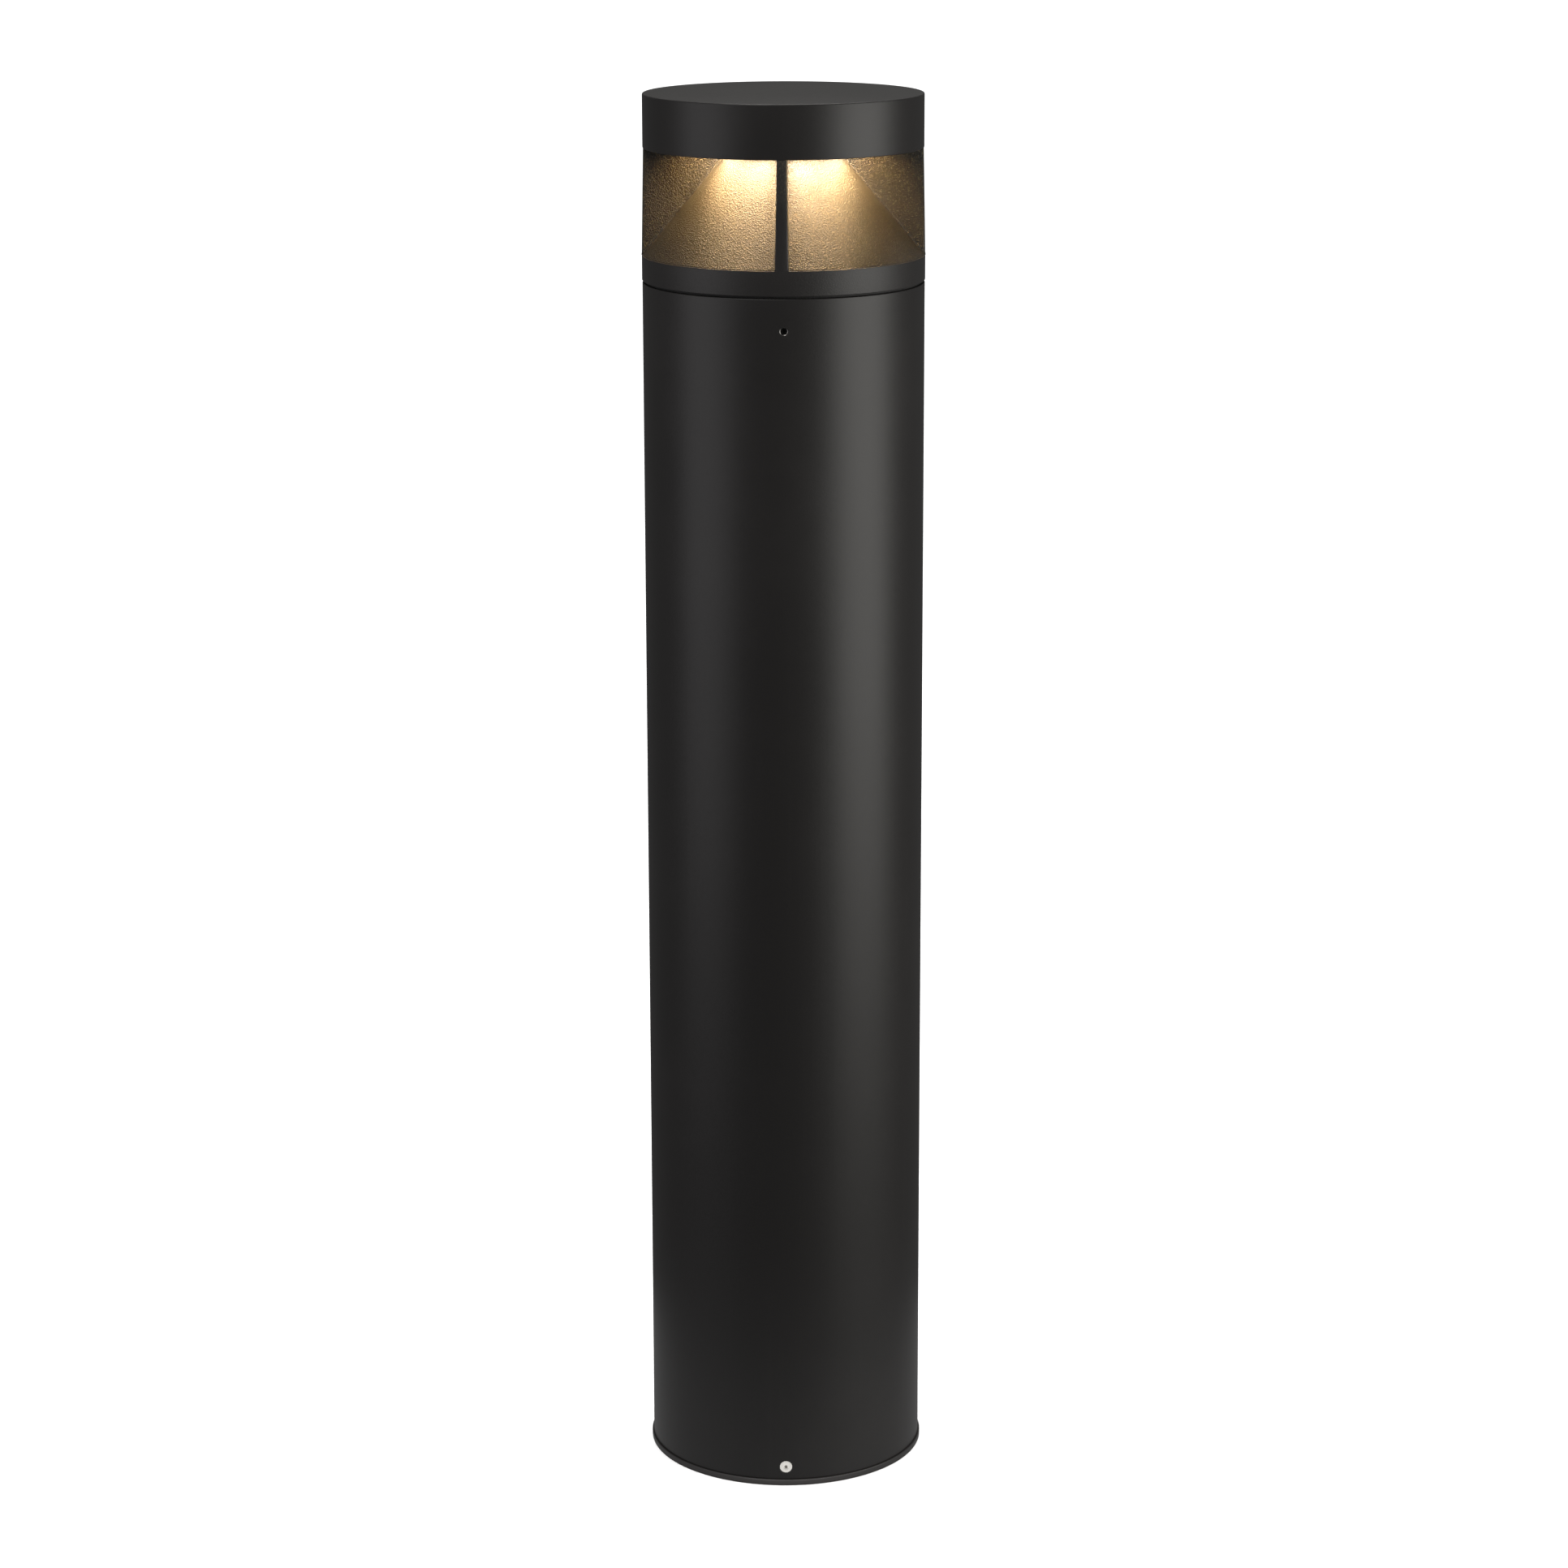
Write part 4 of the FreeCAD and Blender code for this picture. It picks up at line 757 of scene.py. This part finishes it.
def lightSources():
    level = boxOf("led_chips")[1].z
    base, sunk = chipLook["base"], chipLook["sunk"]
    foot = turnedShape([(0.0, -sunk), (base, -sunk), (base, 0.0), (0.0, 0.0)], 4)
    dome = bmesh.new()
    bmesh.ops.create_uvsphere(dome, u_segments=20, v_segments=10, radius=chipLook["dome"])
    bmesh.ops.transform(dome, matrix=Matrix.Diagonal((1.0, 1.0, chipLook["flatten"], 1.0)),
                        verts=dome.verts)
    places = []
    for bearing in betweenBearings:
        for reach, count, pitch in chipLook["rows"]:
            for index in range(count):
                turn = bearing + math.radians((index - (count - 1) / 2) * pitch)
                places.append(aroundPlace(turn, reach, level))
    finishPiece("lightSources", joined([(foot, places), (dome, places)]), ["led_chips"],
                chipGlow)


# glands, grommet and earth stud
glandLook = {"hex": 0.011, "dome": 0.0102, "mouth": 0.0078, "thread": 0.008,
             "threadWall": 0.002, "rounding": 0.001, "rib": 0.00035, "ribs": 24, "steps": 96,
             # heights from the mouth, and the nut's from the other end
             "domeFoot": 0.003, "hexFoot": 0.0085, "boreTop": 0.01, "body": 0.014, "nut": 0.004}


def gland(node, bore):
    low, high = boxOf(node)
    hexRadius, dome, thread = glandLook["hex"], glandLook["dome"], glandLook["thread"]
    domeFoot, hexFoot, boreTop, body = (
        low.z + glandLook[key] for key in ("domeFoot", "hexFoot", "boreTop", "body"))
    nut, inner = high.z - glandLook["nut"], thread - glandLook["threadWall"]
    rounding = glandLook["rounding"]
    shape = turnedShape([
        (bore, low.z, rounding / 2), (glandLook["mouth"], low.z, rounding),
        (dome, domeFoot, rounding), (dome, hexFoot), (hexRadius, hexFoot), (hexRadius, body),
        (thread, body), (thread, nut), (hexRadius, nut), (hexRadius, high.z),
        (inner, high.z), (inner, boreTop), (bore, boreTop)], glandLook["steps"])
    for vert in shape.verts:
        if abs(vert.co.xy.length - dome) < 5 * hair:
            turn = math.atan2(vert.co.y, vert.co.x) * glandLook["ribs"]
            vert.co.xy *= 1.0 - glandLook["rib"] / dome * (0.5 + 0.5 * math.cos(turn))
    hexed(shape, hexRadius - hair, hexRadius + hair)
    finishPiece(node.replace("_g", "G"), shape, [node], blackNylon)


grommetLook = {"bore": 0.0025, "lip": 0.002, "rim": 0.0008, "inside": 0.0003, "mouth": 0.0005,
               "steps": 64}


def leadGrommet():
    low, high = boxOf("lead_grommet")
    outer, bore, lip = outerRadius("lead_grommet"), grommetLook["bore"], grommetLook["lip"]
    rim, inside, mouth = (grommetLook[key] for key in ("rim", "inside", "mouth"))
    finishPiece("leadGrommet", turnedShape([
        (bore, low.z, mouth), (outer, low.z, rim), (outer, low.z + lip, inside),
        (outer - lip, low.z + lip), (outer - lip, high.z - lip), (outer, high.z - lip, inside),
        (outer, high.z, rim), (bore, high.z, mouth)], grommetLook["steps"]),
        ["lead_grommet"], blackRubber)


studLook = {"radius": 0.003, "washer": 0.006, "washerThick": 0.0016, "washerEdge": 0.0002,
            "nut": 0.0057, "nutThick": 0.0048, "circle": 0.07}


def earthStud():
    low, high = boxOf("earth_stud")
    radius, washer, nut = studLook["radius"], studLook["washer"], studLook["nut"]
    edge, seat = studLook["washerEdge"], footLook["floor"]
    washerTop = seat + studLook["washerThick"]
    nutTop = washerTop + studLook["nutThick"]
    grooves = threadOutline(radius, -(nutTop + 4 * hair), -high.z)
    studShape = turnedShape([(0.0, low.z), (radius, low.z), (radius, nutTop + 2 * hair)]
                            + [(reach, -level) for reach, level in grooves]
                            + [(0.0, high.z)], 36)
    washerShape = turnedShape([(radius, seat), (washer, seat, edge), (washer, washerTop, edge),
                               (radius, washerTop)], 48)
    nutShape = turnedShape([(radius, washerTop), (nut, washerTop), (nut, nutTop),
                            (radius, nutTop)], 48)
    hexed(nutShape, nut - hair, nut + hair)
    place = [aroundPlace(0.0, studLook["circle"])]
    finishPiece("earthStud", joined([(studShape, place), (washerShape, place),
                                     (nutShape, place)]), ["earth_stud"], brass)


# gear on the tray
gearLook = {"rounding": 0.002, "ribs": 9, "ribDepth": 0.0006, "ribInset": 0.006, "tab": 0.012,
            "tabInset": 0.002, "tabThick": 0.003, "tabRounding": 0.0005, "ribRounding": 0.0004,
            "ribRoot": 0.003, "ribShare": 0.22, "lidRounding": 0.0008, "screwInset": 0.006,
            "screwSunk": 0.0004, "connectorRounding": 0.0006}


def driver():
    low, high = ownBox("led_driver")
    tab, inset = gearLook["tab"], gearLook["tabInset"]
    ribInset, ribDepth = gearLook["ribInset"], gearLook["ribDepth"]
    parts = [softBlock(low + Vector((0, 0, tab)), high - Vector((0, 0, tab)),
                       gearLook["rounding"]),
             softBlock(Vector((low.x + inset, high.y - gearLook["tabThick"], low.z)),
                       Vector((high.x - inset, high.y, high.z)), gearLook["tabRounding"], 2)]
    pitch = (high.z - low.z - 2 * tab) / (gearLook["ribs"] + 1)
    for index in range(gearLook["ribs"]):
        level = low.z + tab + pitch * (index + 1)
        half = pitch * gearLook["ribShare"]
        parts.append(softBlock(
            Vector((low.x + ribInset, low.y - ribDepth, level - half)),
            Vector((high.x - ribInset, low.y + gearLook["ribRoot"], level + half)),
            gearLook["ribRounding"], 2))
    finishPiece("driver", joined([(part, [still]) for part in parts]), ["led_driver"],
                driverCase)


def smallBlocks():
    finishPiece("connector", softBlock(*ownBox("led_connector"), gearLook["connectorRounding"]),
                ["led_connector"], creamNylon)
    low, high = ownBox("terminal_box_lid")
    inset, look = gearLook["screwInset"], screwLook["lid"]
    places = [Matrix.Translation((x, low.y + gearLook["screwSunk"], z)) @ facingFront
              for x in (low.x + inset, high.x - inset) for z in (low.z + inset, high.z - inset)]
    finishPiece("terminalBoxLid", joined([
        (softBlock(low, high, gearLook["lidRounding"]), [still]),
        (cylinderScrew(look, look["length"]), places)]), ["terminal_box_lid"], greyBox)


print("pieces")
postTube()
footFlange()
allScrews()
postSeal()
headCasting()
capShell()
lightSources()
gland("led_gland", 0.0025)
gland("inlet_gland", 0.005)
leadGrommet()
earthStud()
driver()
smallBlocks()


# floor, light and camera
stageLook = {"floorSize": 90.0, "floorTone": (0.93, 0.93, 0.93), "worldStrength": 0.095,
             "floorSun": 4.3, "sunWidth": 60.0}


def floorPaint(tone):
    g = Graph("floorPaint")
    mottle = g.noise(3.0, 3.0, 0.5)
    return g.feed(Base_Color=g.mix(mottle, shade(tone, 0.985), tone), Roughness=0.9,
                  Specular_IOR_Level=0.0)


def floor():
    shape = bmesh.new()
    bmesh.ops.create_grid(shape, x_segments=1, y_segments=1, size=stageLook["floorSize"] / 2)
    mesh = bpy.data.meshes.new("floor")
    shape.to_mesh(mesh)
    shape.free()
    plane = bpy.data.objects.new("floor", mesh)
    bpy.context.scene.collection.objects.link(plane)
    mesh.materials.append(floorPaint(stageLook["floorTone"]))
    plane.visible_diffuse = False
    plane.visible_glossy = False
    return plane


def areaLight(name, place, aim, size, power, colour, spread=180.0):
    lamp = bpy.data.lights.new(name, "AREA")
    lamp.shape = "RECTANGLE"
    lamp.size, lamp.size_y = size
    lamp.energy = power
    lamp.color = colour
    lamp.spread = math.radians(spread)
    holder = bpy.data.objects.new(name, lamp)
    holder.location = place
    holder.rotation_euler = (Vector(aim) - Vector(place)).to_track_quat("-Z", "Y").to_euler()
    bpy.context.scene.collection.objects.link(holder)
    return holder


def only(light, receiver):
    # this light falls on this object only
    group = bpy.data.collections.new(light.name + "Only")
    group.objects.link(receiver)
    light.light_linking.receiver_collection = group


softboxes = {
    # bearing from the front (degrees), distance, height, width, tall, watts, colour
    "keyRight": (65.0, 1.7, 0.78, 1.50, 1.56, 20.0, (1.0, 0.985, 0.94)),
    "fillLeft": (-65.0, 1.7, 0.78, 1.30, 1.56, 6.0, (1.0, 0.975, 0.99)),
}
panels = {
    # place, aim, size, watts, colour
    "topLight": ((0.15, 0.9, 2.6), (0.0, 0.0, 1.0), (1.2, 0.8), 16.0, (1.0, 0.98, 0.94)),
    "frontTop": ((-0.55, -0.85, 2.3), (0.0, 0.0, 0.95), (0.7, 0.7), 9.0, (1.0, 0.98, 0.95)),
    "edgeLight": ((0.0, -1.2, 0.3), (0.0, 0.0, 0.0), (1.8, 0.3), 14.0, (1.0, 0.98, 0.98)),
}
floorDiscs = {
    # height, width, watts, colour
    "floorGlow": (0.001, 0.66, 0.24, (1.0, 1.0, 1.0)),
    "screwGlow": (0.0015, 0.6, 0.6, (1.0, 0.99, 0.97)),
}
lightOnly = {"edgeLight": "footFlange", "screwGlow": "footScrews", "floorSun": "floor"}


def studio():
    print("studio")
    floor()
    world = bpy.data.worlds.new("studio")
    world.use_nodes = True
    background = world.node_tree.nodes["Background"]
    background.inputs["Color"].default_value = (1.0, 1.0, 1.0, 1.0)
    background.inputs["Strength"].default_value = stageLook["worldStrength"]
    bpy.context.scene.world = world
    for name, (bearing, distance, height, width, tall, watts, tone) in softboxes.items():
        turn = math.radians(bearing)
        place = (distance * math.sin(turn), -distance * math.cos(turn), height)
        areaLight(name, place, (0.0, 0.0, height), (width, tall), watts, tone)
    for name, row in panels.items():
        areaLight(name, *row)
    for name, (height, width, watts, tone) in floorDiscs.items():
        disc = areaLight(name, (0.0, 0.0, height), (0.0, 0.0, 1.0), (width, width), watts, tone)
        disc.data.shape = "DISK"
        disc.visible_camera = False
    sun = bpy.data.lights.new("floorSun", "SUN")
    sun.energy = stageLook["floorSun"]
    sun.angle = math.radians(stageLook["sunWidth"])
    bpy.context.scene.collection.objects.link(bpy.data.objects.new("floorSun", sun))
    for light, receiver in lightOnly.items():
        only(bpy.data.objects[light], bpy.data.objects[receiver])


lampLook = {"size": (0.026, 0.007), "spread": 130.0,
            # degrees from the middle of each quarter, and the share of the watts there
            "asides": ((-33.0, 1.15), (0.0, 0.8), (33.0, 1.15)),
            # radius, height above the cap's rim, watts and colour of each row of lamps
            "rows": ((0.0455, 0.0045, 0.042, (1.0, 0.85, 0.68)),
                     (0.0600, 0.0115, 0.114, (1.0, 0.63, 0.27)))}


def headLight():
    # warm lamps just under each quarter of the board
    print("head light")
    for middle in betweenBearings:
        for aside, share in lampLook["asides"]:
            bearing = headTurn + middle + math.radians(aside)
            for radius, rise, watts, tone in lampLook["rows"]:
                place = Vector((radius * math.cos(bearing), radius * math.sin(bearing),
                                capLow.z + rise))
                lamp = areaLight("headLamp", place, place - Vector((0, 0, 1)),
                                 lampLook["size"], watts * share, tone, lampLook["spread"])
                lamp.rotation_euler = (0.0, 0.0, bearing + math.pi / 2)
                lamp.visible_camera = False
                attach(lamp, "head")


cameraPlace = {"distance": 2.8882, "height": 1.2375, "side": -0.00046, "tiltDown": 14.252,
               "roll": -0.117, "lens": 94.377, "sensor": 36.0, "farEnd": 200.0}


def camera():
    print("camera")
    lens = bpy.data.cameras.new("camera")
    lens.sensor_width = cameraPlace["sensor"]
    lens.lens = cameraPlace["lens"]
    lens.clip_end = cameraPlace["farEnd"]
    holder = bpy.data.objects.new("camera", lens)
    aim = Matrix.Rotation(math.radians(90.0 - cameraPlace["tiltDown"]), 4, "X")
    roll = Matrix.Rotation(math.radians(cameraPlace["roll"]), 4, "Z")
    place = Matrix.Translation((cameraPlace["side"], -cameraPlace["distance"],
                                cameraPlace["height"]))
    holder.matrix_world = place @ aim @ roll
    bpy.context.scene.collection.objects.link(holder)
    bpy.context.scene.camera = holder


bpy.context.scene.view_settings.view_transform = "Standard"
camera()
studio()
headLight()
